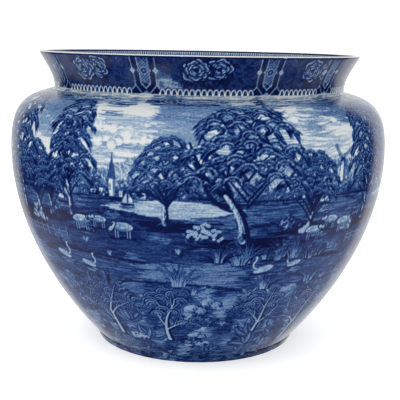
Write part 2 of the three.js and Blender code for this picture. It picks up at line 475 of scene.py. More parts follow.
# %% [markdown]
# ## Trees, beasts and plants
#
# An engraver builds a tree from a few kinds of stroke: broad ones for the mass
# of leaf, deep ones below, short bright arcs where the light falls. Each motif
# is drawn in its own millimetres about a spot, so it keeps its shape low on
# the pot, where the wall is narrower than at the belly.

# %% A motif on the plate


class Motif:
    """A spot on the plate where a motif is drawn in its own mm, with y upwards."""

    def __init__(self, plate, x, y, size=1.0, flip=1):
        self.plate, self.rng = plate, plate.rng
        self.x, self.y, self.size, self.flip = x, y, size, flip

    def at(self, dx, dy):
        """Where a place of the motif lies on the plate."""
        y = self.y - np.asarray(dy, float) * self.size
        return self.x + np.asarray(dx, float) * self.size * self.flip / self.plate.narrow(y), y

    def line(self, dx, dy, width, tone, strength=1.0):
        x, y = self.at(dx, dy)
        self.plate.lines(x, y, np.asarray(width) * self.size**0.5, tone, strength)

    def shape(self, dx, dy, tone, edge=None, width=0.5):
        """A filled outline, and a line round it if it has an edge."""
        x, y = self.at(dx, dy)
        self.plate.fill(x, y, tone)
        if edge is not None:
            self.plate.lines(np.r_[x, x[0]], np.r_[y, y[0]], width, edge)

    def dots(self, dx, dy, width, tone, strength=1.0):
        x, y = self.at(dx, dy)
        self.plate.dabs(x, y, np.asarray(width) * np.ones(np.shape(x)) * self.size, tone, strength)

    def curls(self, dx, dy, angle, length, width, tone, bend=0.0, strength=1.0):
        """Curved strokes about points of the motif; angles turn up from the right."""
        if np.size(dx) == 0:
            return
        px, py = arcs(dx, dy, angle, length, bend)
        self.line(px, py, width, tone, strength)

    def ripples(self, count, across, down, length, width, tone):
        """Level strokes at random on water, each given as its least and its most."""
        dx, dy = self.rng.uniform(*across, count), -self.rng.uniform(*down, count)
        self.curls(dx, dy, 0.0, self.rng.uniform(*length, count), width, tone)


# %% Helpers for what grows
QUARTER = math.pi / 2


def bent(angles, length):
    """A line whose direction changes step by step, as its x and its y."""
    steps = len(angles) - 1
    return (np.r_[0, np.cumsum(way(angles[:-1]))] * length / steps for way in (np.cos, np.sin))


def patch(rng, count, end=TURN, start=0.0, core=0.0):
    """Random places in a round patch of radius 1, as their x and their y."""
    a, q = rng.uniform(start, end, count), np.sqrt(rng.uniform(core, 1, count))
    return np.cos(a) * q, np.sin(a) * q


# %% Trees
CROWN_LAYERS = ((0.90, 0.8, 8, 0.0), (1.0, 0.36, 6, 0.0), (0.60, 0.25, 4, 0.3), (0.24, 0.2, 3, 0.9))


def foliage(motif, lobes, leaf=3.0, dark=0.97, light=0.1, ground=0.8):
    """Leaves in lobes (dx, dy, radius): deep beneath, bright on the upper left."""
    rng = motif.rng
    middle, spread = lobes[:, :2].mean(0), np.ptp(lobes[:, :2], axis=0).max() / 2 + 1
    order = np.argsort(-lobes[:, 1] + rng.normal(0, 7, len(lobes)))
    for group in np.array_split(lobes[order], max(len(lobes) // 8, 2)):
        if len(group) == 0:
            continue
        dx, dy, r = group.T
        share = r**2 / (r**2).sum()
        area = (r**2).sum() * math.pi
        sides = ((dy - middle[1]) - (dx - middle[0])) / spread * 0.45
        for kind, tone, wide, per, reach, longer in (
            ("base", ground, leaf * 0.85, 4.2, 0.9, 1.6),
            ("deep", dark, leaf * 0.3, 2.4, 1.0, 1.0),
            ("edge", dark, leaf * 0.24, 3.2, 1.05, 0.9),
            ("mid", 0.5, leaf * 0.2, 3.0, 0.95, 1.1),
            ("lit", light, leaf * 0.25, 3.0, 0.9, 1.1),
        ):
            n = max(int(area / per / leaf**1.15), 3)
            pick = rng.choice(len(r), n, p=share)
            a = rng.uniform(0, TURN, n)
            q = rng.uniform(0.85, 1.1, n) if kind == "edge" else np.sqrt(rng.uniform(0, 1, n)) * reach
            sunny = np.cos(a - 2.2) * q + sides[pick]
            keep = {
                "lit": sunny > rng.uniform(-0.1, 0.85, n),
                "mid": sunny > rng.uniform(-0.6, 0.3, n),
                "deep": sunny < rng.uniform(-0.4, 0.7, n),
            }.get(kind, np.ones(n, bool))
            pick, a, q = pick[keep], a[keep], q[keep]
            motif.curls(
                dx[pick] + np.cos(a) * q * r[pick],
                dy[pick] + np.sin(a) * q * r[pick] * 0.86,
                a - QUARTER + rng.normal(0, 0.4, len(a)),
                leaf * longer * rng.uniform(0.6, 1.4, len(a)),
                wide * rng.uniform(0.8, 1.2, (len(a), 1)),
                tone, rng.uniform(-0.5, -0.1, len(a)), 0.95,
            )


def boughs(rng, x, y, angle, length, width, depth):
    """A trunk and its boughs: bent lines that taper, as (x, y, widths)."""
    t = np.linspace(0, 1, 7)
    turn = angle + rng.normal(0, 0.35) * t
    dx, dy = bent(turn, length)
    px, py = x + dx, y + dy
    grown = [(px, py, width * (1 - 0.45 * t))]
    if depth:
        for side in (-1, 1):
            i = int(rng.uniform(0.5, 0.95) * 6)
            away = turn[i] + side * rng.uniform(0.4, 0.85)
            shorter = length * rng.uniform(0.55, 0.8)
            grown += boughs(rng, px[i], py[i], away, shorter, width * 0.5, depth - 1)
        away = turn[-1] + rng.normal(0, 0.2)
        grown += boughs(rng, px[-1], py[-1], away, length * 0.7, width * 0.55, depth - 1)
    return grown


def trunk(motif, height, width, lean, depth, light=0.16):
    """Trunk and boughs, dark on the right, with bark cut across the lit side."""
    rng = motif.rng
    grown = boughs(rng, 0, 0, QUARTER + lean, height, width, depth)
    for px, py, w in grown:
        motif.line(px, py, w, 0.95)
    for px, py, w in grown:
        if w[0] > width * 0.6:
            motif.line(px - w * 0.16, py, w * 0.5, light)
    px, py, w = grown[0]
    for r in (-1, -0.45, 0.5, 1.1):
        root = [px[1], px[0] + r * width * 0.5, px[0] + r * width * 1.3]
        motif.line(root, [height * 0.12, 1, -1.5], [width * 0.4, width * 0.3, 0.4], 0.95 if r > 0 else 0.7)
    n = int(height * 1.5)
    t = rng.uniform(0, 0.95, n) * 6
    bx, by, bw = (np.interp(t, np.arange(7), a) for a in (px, py, w))
    off = rng.uniform(-0.45, 0.5, n)
    dark = off > -0.12
    for side, shade in ((dark, 0.98), (~dark, 0.05)):
        aim, long = QUARTER + rng.normal(0, 0.25, side.sum()), rng.uniform(2, 5, side.sum())
        motif.curls(bx[side] + off[side] * bw[side], by[side], aim, long, 0.5, shade, 0.1)


def tufts(motif, dx, dy, aim, reach, layers):
    """Fans of tapered strokes, one from each spot; a layer is its tone, width, count and lift."""
    rng = motif.rng
    t = np.linspace(0, 1, 5)
    taper = np.array([0.7, 1.0, 0.9, 0.65, 0.3])
    for tone, wide, count, lift in layers:
        x0, y0, a0, long = (np.repeat(v, count)[:, None] for v in (dx, dy, aim, reach))
        n = (len(x0), 1)
        a = a0 + rng.uniform(-0.75, 0.75, n) + lift * 0.5 * np.where(np.cos(a0) > 0, 1, -1)
        long = long * rng.uniform(0.5, 1.0, n)
        root = rng.uniform(0, 0.35, n)
        along = root + (1 - root) * t
        x = x0 + np.cos(a) * long * along + rng.normal(0, 0.4, n)
        y = y0 + np.sin(a) * long * along - 0.75 * long * along**2 + lift * 0.8 + rng.normal(0, 0.4, n)
        motif.line(x, y, wide * taper * rng.uniform(0.8, 1.2, n), tone, 0.95)


def nested(motif, dx, dy, radius, wide, tones):
    """Arcs one within another, as an engraver rounds a clump of leaves."""
    dx, dy, radius = (np.reshape(v, (-1, 1)) for v in (dx, dy, radius))
    a = np.linspace(0.1, math.pi - 0.1, 9) + motif.rng.normal(0, 0.3, dx.shape)
    for k, tone in enumerate(tones):
        ring = radius * (1 - 0.8 * k / len(tones))
        motif.line(dx + np.cos(a) * ring, dy + np.sin(a) * ring * 0.8, wide, tone, 0.9)


def crown(motif, height, spread, base, pad, leaf, peak=2.2):
    """Boughs of hanging tufts with gaps between them, the upper ones first."""
    rng = motif.rng
    rows = max(int(height * (1 - base) / (pad * 0.62)), 2)
    for row in range(rows - 1, -1, -1):
        share = (row + 0.35) / rows
        half = spread * math.sqrt(1 - share**peak) * (0.82 + 0.18 * math.sin(row * 2.4 + 1))
        count = max(round(half / pad * 1.35), 1)
        for place in rng.permutation(np.linspace(-1, 1, count) if count > 1 else np.zeros(1)):
            dx = place * (half - pad * 0.5) + rng.normal(0, pad * 0.22)
            dy = height * (base + (1 - base) * share) - abs(place) * pad * 0.5 + rng.normal(0, pad * 0.15)
            if rng.uniform() < 0.6:
                rise = [dy - abs(dx) * 0.8 - 6, dy - abs(dx) * 0.3 - 3, dy]
                motif.line([0, dx * 0.5, dx], rise, [1.6, 1.2, 0.7], 0.97)
            u = np.linspace(-1, 1, 6) * rng.choice([-1, 1])
            tufts(
                motif, dx + u * pad * 0.75, dy + (1 - u * u) * pad * 0.3,
                QUARTER - (u * 1.15 + place * 0.45), pad * rng.uniform(0.75, 1.05, 6),
                [(tone, leaf * wide, many, lift) for tone, wide, many, lift in CROWN_LAYERS],
            )
            round_clump = pad * rng.uniform(0.6, 0.9)
            nested(motif, dx, dy + pad * 0.1, round_clump, leaf * 0.24, (0.97, 0.3, 0.97, 0.4))


def oak(motif, height, spread):
    """A broad tree on a stout trunk."""
    ground_shadow(motif, spread * 1.1, 7.0)
    trunk(motif, height * 0.36, height * 0.085, motif.rng.normal(0, 0.1), 2)
    crown(motif, height, spread, 0.42, max(height * 0.095, 6), max(height * 0.024, 2.0))


def elm(motif, height, spread):
    """A tall tree with its crown in tiers of hanging sprays."""
    ground_shadow(motif, spread * 1.3, 6.0)
    trunk(motif, height * 0.42, height * 0.055, motif.rng.normal(0, 0.06), 1, 0.1)
    crown(motif, height, spread, 0.34, max(height * 0.075, 5), max(height * 0.022, 2.0), 4.0)


def birch(motif, height, spread):
    """A slender forked tree with pale bark and rounded clumps of leaf."""
    rng = motif.rng
    grown = boughs(rng, 0, 0, QUARTER + rng.normal(0, 0.18), height * 0.46, height * 0.085, 2)
    x, y = patch(rng, 16, core=0.05)
    dx = np.r_[[px[-1] for px, _, _ in grown[1:]], x * spread]
    dy = np.r_[[py[-1] for _, py, _ in grown[1:]], height * 0.74 + y * height * 0.26]
    r = rng.uniform(4.0, 7.5, len(dx))
    turn = np.linspace(0, TURN, 12)
    order = np.argsort(-dy)
    for k in order:
        motif.shape(dx[k] + np.cos(turn) * r[k] * 1.1, dy[k] + np.sin(turn) * r[k] * 0.75, 0.74)
        nested(motif, dx[k], dy[k], r[k] * 1.1, 0.75, (0.98, 0.2, 0.95, 0.3, 0.9))
    for px, py, w in grown:
        motif.line(px, py, w + 1.1, 0.98)
    for px, py, w in grown:
        motif.line(px - w * 0.15, py, w * 0.6, 0.1)
    front = order[2::3]
    nested(motif, dx[front], dy[front], r[front], 0.75, (0.98, 0.16, 0.95, 0.26))


def poplar(motif, height, width):
    """A narrow tree, drawn in upright flames of leaf."""
    rng = motif.rng
    motif.line([0, 0], [0, height * 0.2], 2.4, 0.9)
    for tone, wide, many, lit in (
        (0.82, 2.6, 5, 0), (0.99, 0.8, 8, -1), (0.5, 0.6, 5, 0), (0.12, 0.6, 5, 1),
    ):
        n = int(height * many)
        t = rng.uniform(0.06, 1, n)
        half = width * np.sin(t**0.75 * math.pi) ** 0.7 / 2 + 0.5
        u = rng.uniform(-1, 1, n)
        if lit:
            keep = u * lit < rng.uniform(-1, 0.6, n)
            t, half, u = t[keep], half[keep], u[keep]
        aim = QUARTER - u * 0.35 + rng.normal(0, 0.2, len(u))
        motif.curls(u * half, t * height, aim, rng.uniform(2.5, 5, len(u)), wide, tone, 0.2)


def bush(motif, width, height, flowers=0, ground=0.9):
    """A low bush, and the pale blossom on it."""
    rng = motif.rng
    n = int(width * height / 9)
    x, y = patch(rng, n, math.pi)
    lobes = np.stack([x * width / 2, y * height * 0.85, rng.uniform(1.8, 3.2, n)], 1)
    foliage(motif, lobes, 2.6, ground=ground, light=0.35 if flowers else 0.1)
    if flowers:
        m = int(flowers)
        x, y = patch(rng, m, math.pi, -0.1)
        dx, dy = x * width / 2, y * height * 0.95 + 1
        for k in range(5):
            w = rng.uniform(0.9, 1.5, m)
            motif.dots(dx + math.cos(k * TURN / 5) * 0.9, dy + math.sin(k * TURN / 5) * 0.9, w, 0.04)
        motif.dots(dx, dy, 0.5, 0.85)


def ground_shadow(motif, width, height):
    """Deep level strokes on the ground under a tree."""
    rng = motif.rng
    n = int(width * 3.4)
    dx, dy = rng.normal(0, 0.42, n) * width, rng.uniform(-1, 0.25, n) * height
    motif.curls(dx, dy, 0.0, rng.uniform(7, 18, n), 1.1, 1.0, 0.03)


# %% Buildings, boats and beasts


def building(motif, dx, width, height, roof):
    """A plain house: a lit front, a shaded end and a pitched roof."""
    right = dx + width
    for left, *tones in ((dx, 0.06, 0.75, 0.45), (dx + width * 0.62, 0.55)):
        motif.shape([left, right, right, left], [0, 0, height, height], *tones)
    motif.shape([dx - 0.6, dx + width / 2, right + 0.6], [height, height + roof, height], 0.68, 0.85, 0.45)
    for k in range(int(width // 3)):
        motif.line([dx + 1.3 + 2 * k] * 2, [height * 0.35, height * 0.7], 0.6, 0.9)


def village(motif):
    """A few roofs round a steeple."""
    for dx, width, height in ((-17, 7, 4.5), (-9, 6, 6), (8, 9, 5), (18, 6, 4), (25, 8, 5)):
        building(motif, dx, width, height, 3.2)
    building(motif, -0.5, 5.5, 14, 17)
    motif.line([2.25, 2.25], [30, 34], 0.5, 0.8)
    for dx in (-13, -3.5, 15, 24, 34):
        x = motif.x + dx * motif.size * motif.flip
        bush(Motif(motif.plate, x, motif.y + 0.5, motif.size), 7, 5)


def windmill(motif):
    """A tower mill with four lattice sails."""
    motif.shape([-4.2, 4.2, 2.6, -2.6], [0, 0, 17, 17], 0.05, 0.75, 0.5)
    motif.shape([0.8, 4.2, 2.6, 0.8], [0, 0, 17, 17], 0.6)
    a = np.linspace(0, math.pi, 9)
    motif.shape(np.cos(a) * 3.4, 17 + np.sin(a) * 3.6, 0.8)
    for k in range(4):
        ux, uy = math.cos(0.5 + k * QUARTER), math.sin(0.5 + k * QUARTER)
        t = np.array([2, 15])
        for off in (0, 1.3, 2.6):
            motif.line(t * ux - off * uy, 18.5 + t * uy + off * ux, 0.5, 0.9)
        t = np.linspace(3, 15, 8)
        x, y = t * ux, 18.5 + t * uy
        motif.line(np.stack([x, x - 2.6 * uy], 1), np.stack([y, y + 2.6 * ux], 1), 0.45, 0.8)


def boat(motif):
    """A small sailing boat and its broken reflection."""
    motif.ripples(30, (-8, 9), (0.5, 11), (2, 8), 0.6, 0.1)
    motif.ripples(30, (-9, 9), (0.2, 5), (2, 8), 0.5, 0.92)
    motif.shape([-8, 8, 10, -9], [0, 0, 2.6, 2.6], 0.92)
    motif.shape([-1, -1, -8], [3.4, 20, 4.2], 0.02, 0.8)
    motif.shape([0.4, 0.4, 8.5], [18, 3.4, 3.8], 0.16, 0.8)
    motif.line([-0.4, -0.4], [2, 21.5], 0.6, 0.92)


def sheep(motif):
    """A sheep from the side: legs, a fleece in small curls and a dark face."""
    rng = motif.rng
    n = 24
    motif.curls(rng.normal(0, 5, n), rng.uniform(-1.2, 0.4, n), 0.0, rng.uniform(3, 9, n), 0.9, 0.98)
    for dx in (-4.8, -3.0, 3.4, 5.2):
        for wide, tone in ((2.0, 0.97), (0.9, 0.2)):
            motif.line([dx, dx + 0.3], [5.5, 0], wide, tone)
    a = np.linspace(0, TURN, 24)
    px, py = np.cos(a) * 7.4, 7.4 + np.sin(a) * np.where(np.sin(a) > 0, 3.6, 2.9)
    motif.shape(px, py, 0.02, 0.9, 0.8)
    motif.shape(px, np.minimum(py, 6.2 + 0.12 * px), 0.55)
    n = 30
    a, q = rng.uniform(0, TURN, n), rng.uniform(0.35, 0.95, n)
    motif.curls(np.cos(a) * q * 6.6, 7.2 + np.sin(a) * q * 2.9, a - QUARTER, 2.2, 0.6, 0.5, -0.45)
    drop = rng.choice([0.0, 3.6])
    for more, tone in ((1.5, 0.97), (0.0, 0.12)):
        motif.line([6.0, 8.4, 10.6], [9.4, 9.2 - drop, 7.2 - drop], np.array([3.2, 2.8, 1.5]) + more, tone)
    motif.line([6.6, 8.0], [11.4 - drop * 0.5, 9.8 - drop * 0.6], 1.1, 0.95)
    motif.line([9.9, 10.8], [7.8 - drop, 7.0 - drop], 1.3, 0.9)


def swan(motif):
    """A swan on still water."""
    rng = motif.rng
    motif.ripples(34, (-9, 9), (-0.5, 5), (3, 9), 0.6, 0.95)
    motif.ripples(11, (-6, 6), (1, 6), (3, 7), 0.5, 0.15)
    a = np.linspace(0, TURN, 24)
    px, py = np.cos(a) * 6.8 - 1.2 * np.sin(a), 3.2 + np.sin(a) * 3.0 - 1.3 * np.cos(a)
    motif.shape(px, py, 0.01, 0.85, 0.55)
    for wide, tone in ((2.5, 0.85), (1.5, 0.01)):
        motif.line([4.6, 7.0, 7.5, 6.0, 5.7, 7.2], [3.5, 5, 8, 10, 12.6, 13.4], wide, tone)
    motif.line([7.6, 9.6], [13.2, 12.2], 1.0, 0.95)
    motif.curls(rng.uniform(-4, 3, 12), 3.5 + rng.uniform(-1.5, 1.8, 12), 2.8, 3.0, 0.4, 0.45, 0.3)


def birds(motif):
    """Four birds, far off and spread out."""
    rng = motif.rng
    for k in range(4):
        dx, dy, w = (k - 1.5) * 12 + rng.normal(0, 3), rng.normal(0, 5), rng.uniform(1.8, 3)
        wings = np.array([[-1, -0.4, 0, 0.4, 1], [0.2, 0.5, 0, 0.5, 0.2]]) * w
        motif.line(dx + wings[0], dy + wings[1], 0.5, 0.75)


# %% Plants of the bank


def fern(motif, angle, length, tone):
    """One frond: a bent rib with leaflets that shorten to the tip."""
    rng = motif.rng
    bend = rng.choice([-1, 1]) * rng.uniform(0.5, 1.1)
    a = angle + bend * np.linspace(0, 1, 12) ** 1.5
    dx, dy = bent(a, length)
    u = np.linspace(0.08, 0.98, int(length / 1.6))
    bx, by, ba = (np.interp(u * 11, np.arange(12), v)[:, None] for v in (dx, dy, a))
    leaf = length * 0.24 * np.sin(u**0.6 * math.pi) ** 0.8 + 0.6
    out = leaf[:, None] * np.linspace(0, 1, 4)
    width = np.array([1.1, 1.5, 1.2, 0.4])
    for side in (-1, 1):
        aim = ba + side * 1.1
        x, y = bx + np.cos(aim) * out, by + np.sin(aim) * out
        motif.line(x, y, width + 0.9, 0.98, 0.9)
        motif.line(x, y, width * 0.75, tone + 0.2 * (side < 0))
    motif.line(dx, dy, 0.6, 0.98)


def broad_leaf(motif, angle, length, width, tone, edge=0.97, rib=0.06):
    """A broad leaf with a wavy edge, one half lit and one in shade."""
    rng = motif.rng
    t = np.linspace(0, 1, 14)
    half = width / 2 * np.sin(t**0.8 * math.pi) ** 0.8 * (1 + 0.12 * np.sin(t * 26 + rng.uniform(0, 6)))
    a = angle + rng.normal(0, 0.35) * t
    mx, my = bent(a, length)
    lit = mx - np.sin(a) * half, my + np.cos(a) * half
    shade = mx + np.sin(a) * half, my - np.cos(a) * half
    motif.shape(np.r_[lit[0], shade[0][::-1]], np.r_[lit[1], shade[1][::-1]], tone, edge, 0.7)
    motif.shape(np.r_[shade[0], mx[::-1]], np.r_[shade[1], my[::-1]], min(tone + 0.34, 0.92))
    for side, vein in ((lit, tone + 0.35), (shade, tone)):
        x, y = (np.stack([m[:-2], s[2:] * 0.85 + m[2:] * 0.15], 1) for m, s in zip((mx, my), side))
        motif.line(x, y, 0.45, vein)
    motif.line(mx, my, 0.6, rib)


def blossom(motif, size, rings=3, tone=0.1, tilt=0.0, edge=0.9):
    """A full round flower: rings of petals, the outer ones first."""
    rng = motif.rng
    a = np.linspace(0, TURN, 20)
    motif.shape(np.cos(a) * size * 1.04, np.sin(a) * size * 1.04 * (1 - tilt), edge)
    t = np.linspace(0, 1, 9)
    for ring in range(rings, 0, -1):
        out, petals = size * ring / rings, 4 + 2 * ring
        far = out * (0.35 + 0.65 * np.sin(t * math.pi) ** 0.7 * (1 - 0.08 * np.cos(t * TURN * 2)))
        side = (t - 0.5) * 2 * out * 3.0 / petals
        m = np.linspace(-0.5, 0.5, 3) * out * 2.0 / petals
        near, end = out * 0.4, out * 0.74
        first = rng.uniform(0, TURN)
        for k in range(petals):
            a = first + k * TURN / petals + rng.normal(0, 0.06)
            ux, uy = np.cos(a), np.sin(a)
            shade = tone + 0.28 * rng.uniform() + 0.14 * (math.sin(a) < -0.2)
            motif.shape(ux * far - uy * side, (uy * far + ux * side) * (1 - tilt), shade, edge * 0.85, 0.5)
            motif.line(
                np.stack([ux * near - uy * m * 0.7, ux * end - uy * m], 1),
                np.stack([uy * near + ux * m * 0.7, uy * end + ux * m], 1) * (1 - tilt), 0.45, 0.6,
            )
    motif.dots(rng.normal(0, size * 0.08, 9), rng.normal(0, size * 0.08, 9), 0.8, 0.9)


def rose(motif, size):
    """A full rose: wide ruffled petals with pale rims, each ring over the last."""
    rng = motif.rng
    t = np.linspace(-1, 1, 15)
    for out, petals, wide in ((1.0, 5, 0.78), (0.74, 5, 0.8), (0.5, 4, 0.9), (0.28, 3, 1.1)):
        first = rng.uniform(0, TURN)
        for k in rng.permutation(petals):
            middle = first + (k + rng.uniform(-0.2, 0.2)) * TURN / petals
            far = size * out * rng.uniform(0.86, 1.1)
            rim = far * (1 - 0.3 * t**4 + 0.07 * np.sin(t * 7 + rng.uniform(0, 6)))
            px, py = np.cos(middle + t * wide) * rim * 1.2, np.sin(middle + t * wide) * rim
            near, end = size * out * 0.2, far * 0.66
            outline = np.r_[px, math.cos(middle) * near], np.r_[py, math.sin(middle) * near] * 1.12
            motif.shape(*outline, 0.74, 1.0, 1.2)
            motif.line(px[1:-1] * 0.88, py[1:-1] * 0.99, 1.2 * np.sin(np.linspace(0.3, 2.8, 13)), 0.26)
            fold = np.array([-0.45, 0.1, 0.5]) * wide + middle
            x, y = (np.stack([way(fold) * near, way(fold) * end], 1) for way in (np.cos, np.sin))
            motif.line(x, y, 0.8, 0.9)
    motif.dots([0], [0], size * 0.32, 1.0)


def rock(motif, width, height, tone):
    """A boulder, hatched on its shaded side."""
    rng = motif.rng
    a = np.r_[0, np.sort(rng.uniform(0.2, math.pi - 0.2, 8)), math.pi]
    q = rng.uniform(0.82, 1.08, 10)
    motif.shape(np.cos(a) * q * width / 2, np.sin(a) * q * height, tone, 0.97, 0.8)
    n = int(width * height / 2)
    u, v = rng.uniform(-0.5, 0.5, n), rng.uniform(0, 0.9, n)
    keep = np.hypot(u * 2, v) < 0.88
    u, v = u[keep], v[keep]
    shade = u - v * 0.3 + rng.normal(0, 0.15, len(u)) > -0.08
    for part, ink in ((shade, 0.9), (~shade, max(tone - 0.2, 0.05))):
        motif.curls(u[part] * width, v[part] * height, -1.1, rng.uniform(2, 5, part.sum()), 0.6, ink, 0.1)


def blades(motif, count, height, spread, light):
    """A tuft of long blades that bend outwards."""
    rng = motif.rng
    dx = rng.normal(0, spread * 0.35, count)
    lean = dx / spread * 1.3 + rng.normal(0, 0.15, count)
    tall = height * rng.uniform(0.5, 1.1, count)
    t = np.linspace(0, 1, 7)
    x = dx[:, None] + lean[:, None] * tall[:, None] * t**1.8
    y = tall[:, None] * (t - 0.35 * np.abs(lean[:, None]) * t**2.5)
    width = 1.3 * (1 - t * 0.8) * np.ones((count, 1))
    motif.line(x, y, width + 0.7, 0.98)
    pale = rng.uniform(size=count) < 0.75
    motif.line(x[pale], y[pale], width[pale] * 0.7, light)


def fence(motif, posts, gap=9.0):
    """Posts with two rails."""
    rng = motif.rng
    dx = np.arange(posts) * gap
    top = rng.normal(9.5, 0.6, posts)
    for wide, tone in ((2.2, 0.95), (1.0, 0.12)):
        motif.line(np.stack([dx, dx + 0.4], 1), np.stack([top * 0, top], 1), wide, tone)
    for level in (3.4, 7.2):
        rail = level + rng.normal(0, 0.35, posts)
        for wide, tone in ((1.7, 0.95), (0.7, 0.12)):
            motif.line(dx, rail, wide, tone)


def cloud(motif, width, height, ink):
    """A heaped cloud: bright round heads over level strokes."""
    rng = motif.rng
    n = 9
    t = np.linspace(-1, 1, n)
    dx = t * width / 2 + rng.normal(0, width * 0.03, n)
    dy = (1 - t**2) * height * rng.uniform(0.6, 1.1, n)
    r = height * rng.uniform(0.35, 0.6, n) + 1
    m = int(width * 1.3)
    x, y = rng.uniform(-0.62, 0.62, m) * width, rng.uniform(-0.5, 0.25, m) * height
    motif.curls(x, y, 0.0, rng.uniform(5, 15, m), 0.55, ink, 0.05)
    motif.dots(dx, dy, r * 2, 0.02, 0.95)
    a = np.linspace(0.0, math.pi * 0.8, 10)
    for inner, tone in ((1.0, ink), (0.84, ink * 0.6), (0.68, ink * 0.5)):
        x, y = (at[:, None] + way(a) * r[:, None] * inner for at, way in ((dx, np.cos), (dy, np.sin)))
        motif.line(x, y, 0.5, tone)


# %% [markdown]
# ## Laying out the scene
#
# Far things come first and near ones cover them: sky, hills, lake, wooded
# bank, pond, then a glade of low trees, stones, ferns and flowers at the foot.

# %% Sky, hills and lake
LAKE_TOP = 98.0


def sky(plate):
    """Bare slip, heaped clouds low down and a bank of dark streaks at the neck."""
    rng = plate.rng
    plate.tone[:] = 0.03
    plate.strokes(plate.inside(14, 60), 900, 22, 0.6, 0.2, 0, 0.04, 0.05)
    veil = plate.wave(3, 12, 0.4) > np.abs(plate.down[:, None] - 56) / 60 - 0.3
    plate.strokes(veil & plate.inside(30, 84), 1500, 20, 0.8, 0.36, 0, 0.05, 0.05, 0.9)
    for _ in range(26):
        middle = Motif(plate, rng.uniform(0, plate.width), rng.uniform(22, 70))
        cloud(middle, rng.uniform(26, 60), rng.uniform(4, 9), rng.uniform(0.25, 0.5))
    edge = 15 + 10 * plate.wave(3, 30, 0.5) + 3 * plate.wave(30, 90, 0.3)
    bank = plate.inside(0, edge)
    gaps = bank & (plate.wave(5, 34, 0.4) > 0.12)
    for part, count, length, width, tone in (
        (bank, 1300, 26, 1.8, 0.62), (bank, 2600, 16, 1.1, 0.92), (bank, 1200, 14, 0.7, 0.98),
        (gaps, 1500, 14, 1.4, 0.1), (bank, 700, 18, 0.7, 0.15), (gaps, 500, 9, 0.7, 0.8),
    ):
        plate.strokes(part, count, length, width, tone, 0, 0.07, 0.12, 0.9)
    for reach, level, tone in ((16, -0.1, 0.6), (34, 0.1, 0.42)):
        streak = plate.inside(edge - 3, edge + reach) & (plate.wave(6, 40, 0.4) > level)
        plate.strokes(streak, 1800, 20, 0.9, tone, 0, 0.05, 0.1, 0.9)


def far_shore(plate):
    """Two lines of hills, the nearer one darker, with woods along the water."""
    rng = plate.rng
    for base, swing, tone, ink in ((80, 24, 0.22, 0.48), (90, 13, 0.42, 0.68)):
        top = base - np.abs(plate.wave(3, 22, 0.9)) * swing - 2 * np.abs(plate.wave(40, 90, 0.4))
        plate.between(top, 104.0, tone)
        hill = plate.inside(top, LAKE_TOP)
        plate.strokes(hill, 5200, 5, 0.5, ink, 1.0, 0.35, 0.2, 0.9)
        plate.strokes(hill & plate.inside(top, top + 5), 1800, 4, 0.6, ink + 0.1, 1.0, 0.3, 0.2)
        plate.strokes(hill, 1600, 4, 0.6, 0.04, 1.0, 0.3, 0.2)
    for _ in range(150):
        wood = Motif(plate, rng.uniform(0, plate.width), LAKE_TOP + rng.uniform(-1, 1.5))
        n, tall = 8, rng.choice([6, 9, 16], p=[0.5, 0.3, 0.2])
        lobes = np.stack([rng.normal(0, 4, n), rng.uniform(0, tall, n), rng.uniform(1.8, 3.4, n)], 1)
        foliage(wood, lobes, 1.9, dark=0.92, light=0.15, ground=0.66)


def lake(plate):
    """Level water, deep under the far woods and bright in the middle."""
    plate.between(LAKE_TOP, 128.0, 0.7)
    water, near = plate.inside(LAKE_TOP, 126), plate.inside(LAKE_TOP, 102)
    bright = water & (plate.wave(3, 9, 0.3) - 0.1 > np.abs(plate.down[:, None] - 106) / 8)
    for part, count, length, width, tone in (
        (water, 5200, 13, 0.7, 0.82), (near, 1900, 9, 0.8, 0.95),
        (bright, 2400, 16, 0.8, 0.12), (water, 2000, 12, 0.5, 0.42),
    ):
        plate.strokes(part, count, length, width, tone, 0, 0.02, 0.0)


# %% Banks


def turf(plate, top, low, ground, tufted):
    """Rolling turf between two lines: soft shadow, level strokes and tufts."""
    rng, down = plate.rng, plate.down[:, None]
    plate.between(top, low, ground)
    inside = plate.inside(top, low)
    swell = sum(
        np.cos(down / rng.uniform(5, 12) + rng.uniform(0, 6) + 2 * plate.wave(2, 9)) * plate.wave(6, 40, 0.3)
        for _ in range(4)
    )
    deep, bright = inside & (swell > 0.35), inside & (swell < -0.4)
    for part, per, length, width, tone, sway, strength in (
        (inside, 9, 9, 0.7, ground + 0.14, 0.1, 0.7), (deep, 3, 10, 0.9, 0.9, 0.08, 0.85),
        (inside, 16, 9, 0.6, ground - 0.18, 0.1, 0.7), (bright, 5, 9, 0.7, ground - 0.34, 0.1, 0.9),
    ):
        plate.strokes(part, part.sum() * DOT**2 / per, length, width, tone, 0, sway, 0.05, strength)
    rim = inside & plate.inside(top, top + 2.2)
    plate.strokes(rim, plate.width * 0.9, 4, 0.8, 0.93, 0.1, 0.3, 0.1)
    n = 7
    for _ in range(int(inside.sum() * DOT**2 / 420 * tufted)):
        x, y = rng.uniform(0, plate.width), rng.uniform(float(top.min()), float(low.max()))
        column = int(x / DOT) % plate.columns
        if top[column] + 2 < y < low[column] - 1:
            lean = rng.normal(0, 0.5, n)
            long, tone = rng.uniform(2.5, 5, n), rng.choice([0.12, 0.95], p=[0.45, 0.55])
            Motif(plate, x, y).curls(lean * 2.4, np.full(n, 1.4), QUARTER - lean, long, 0.7, tone, 0.2)


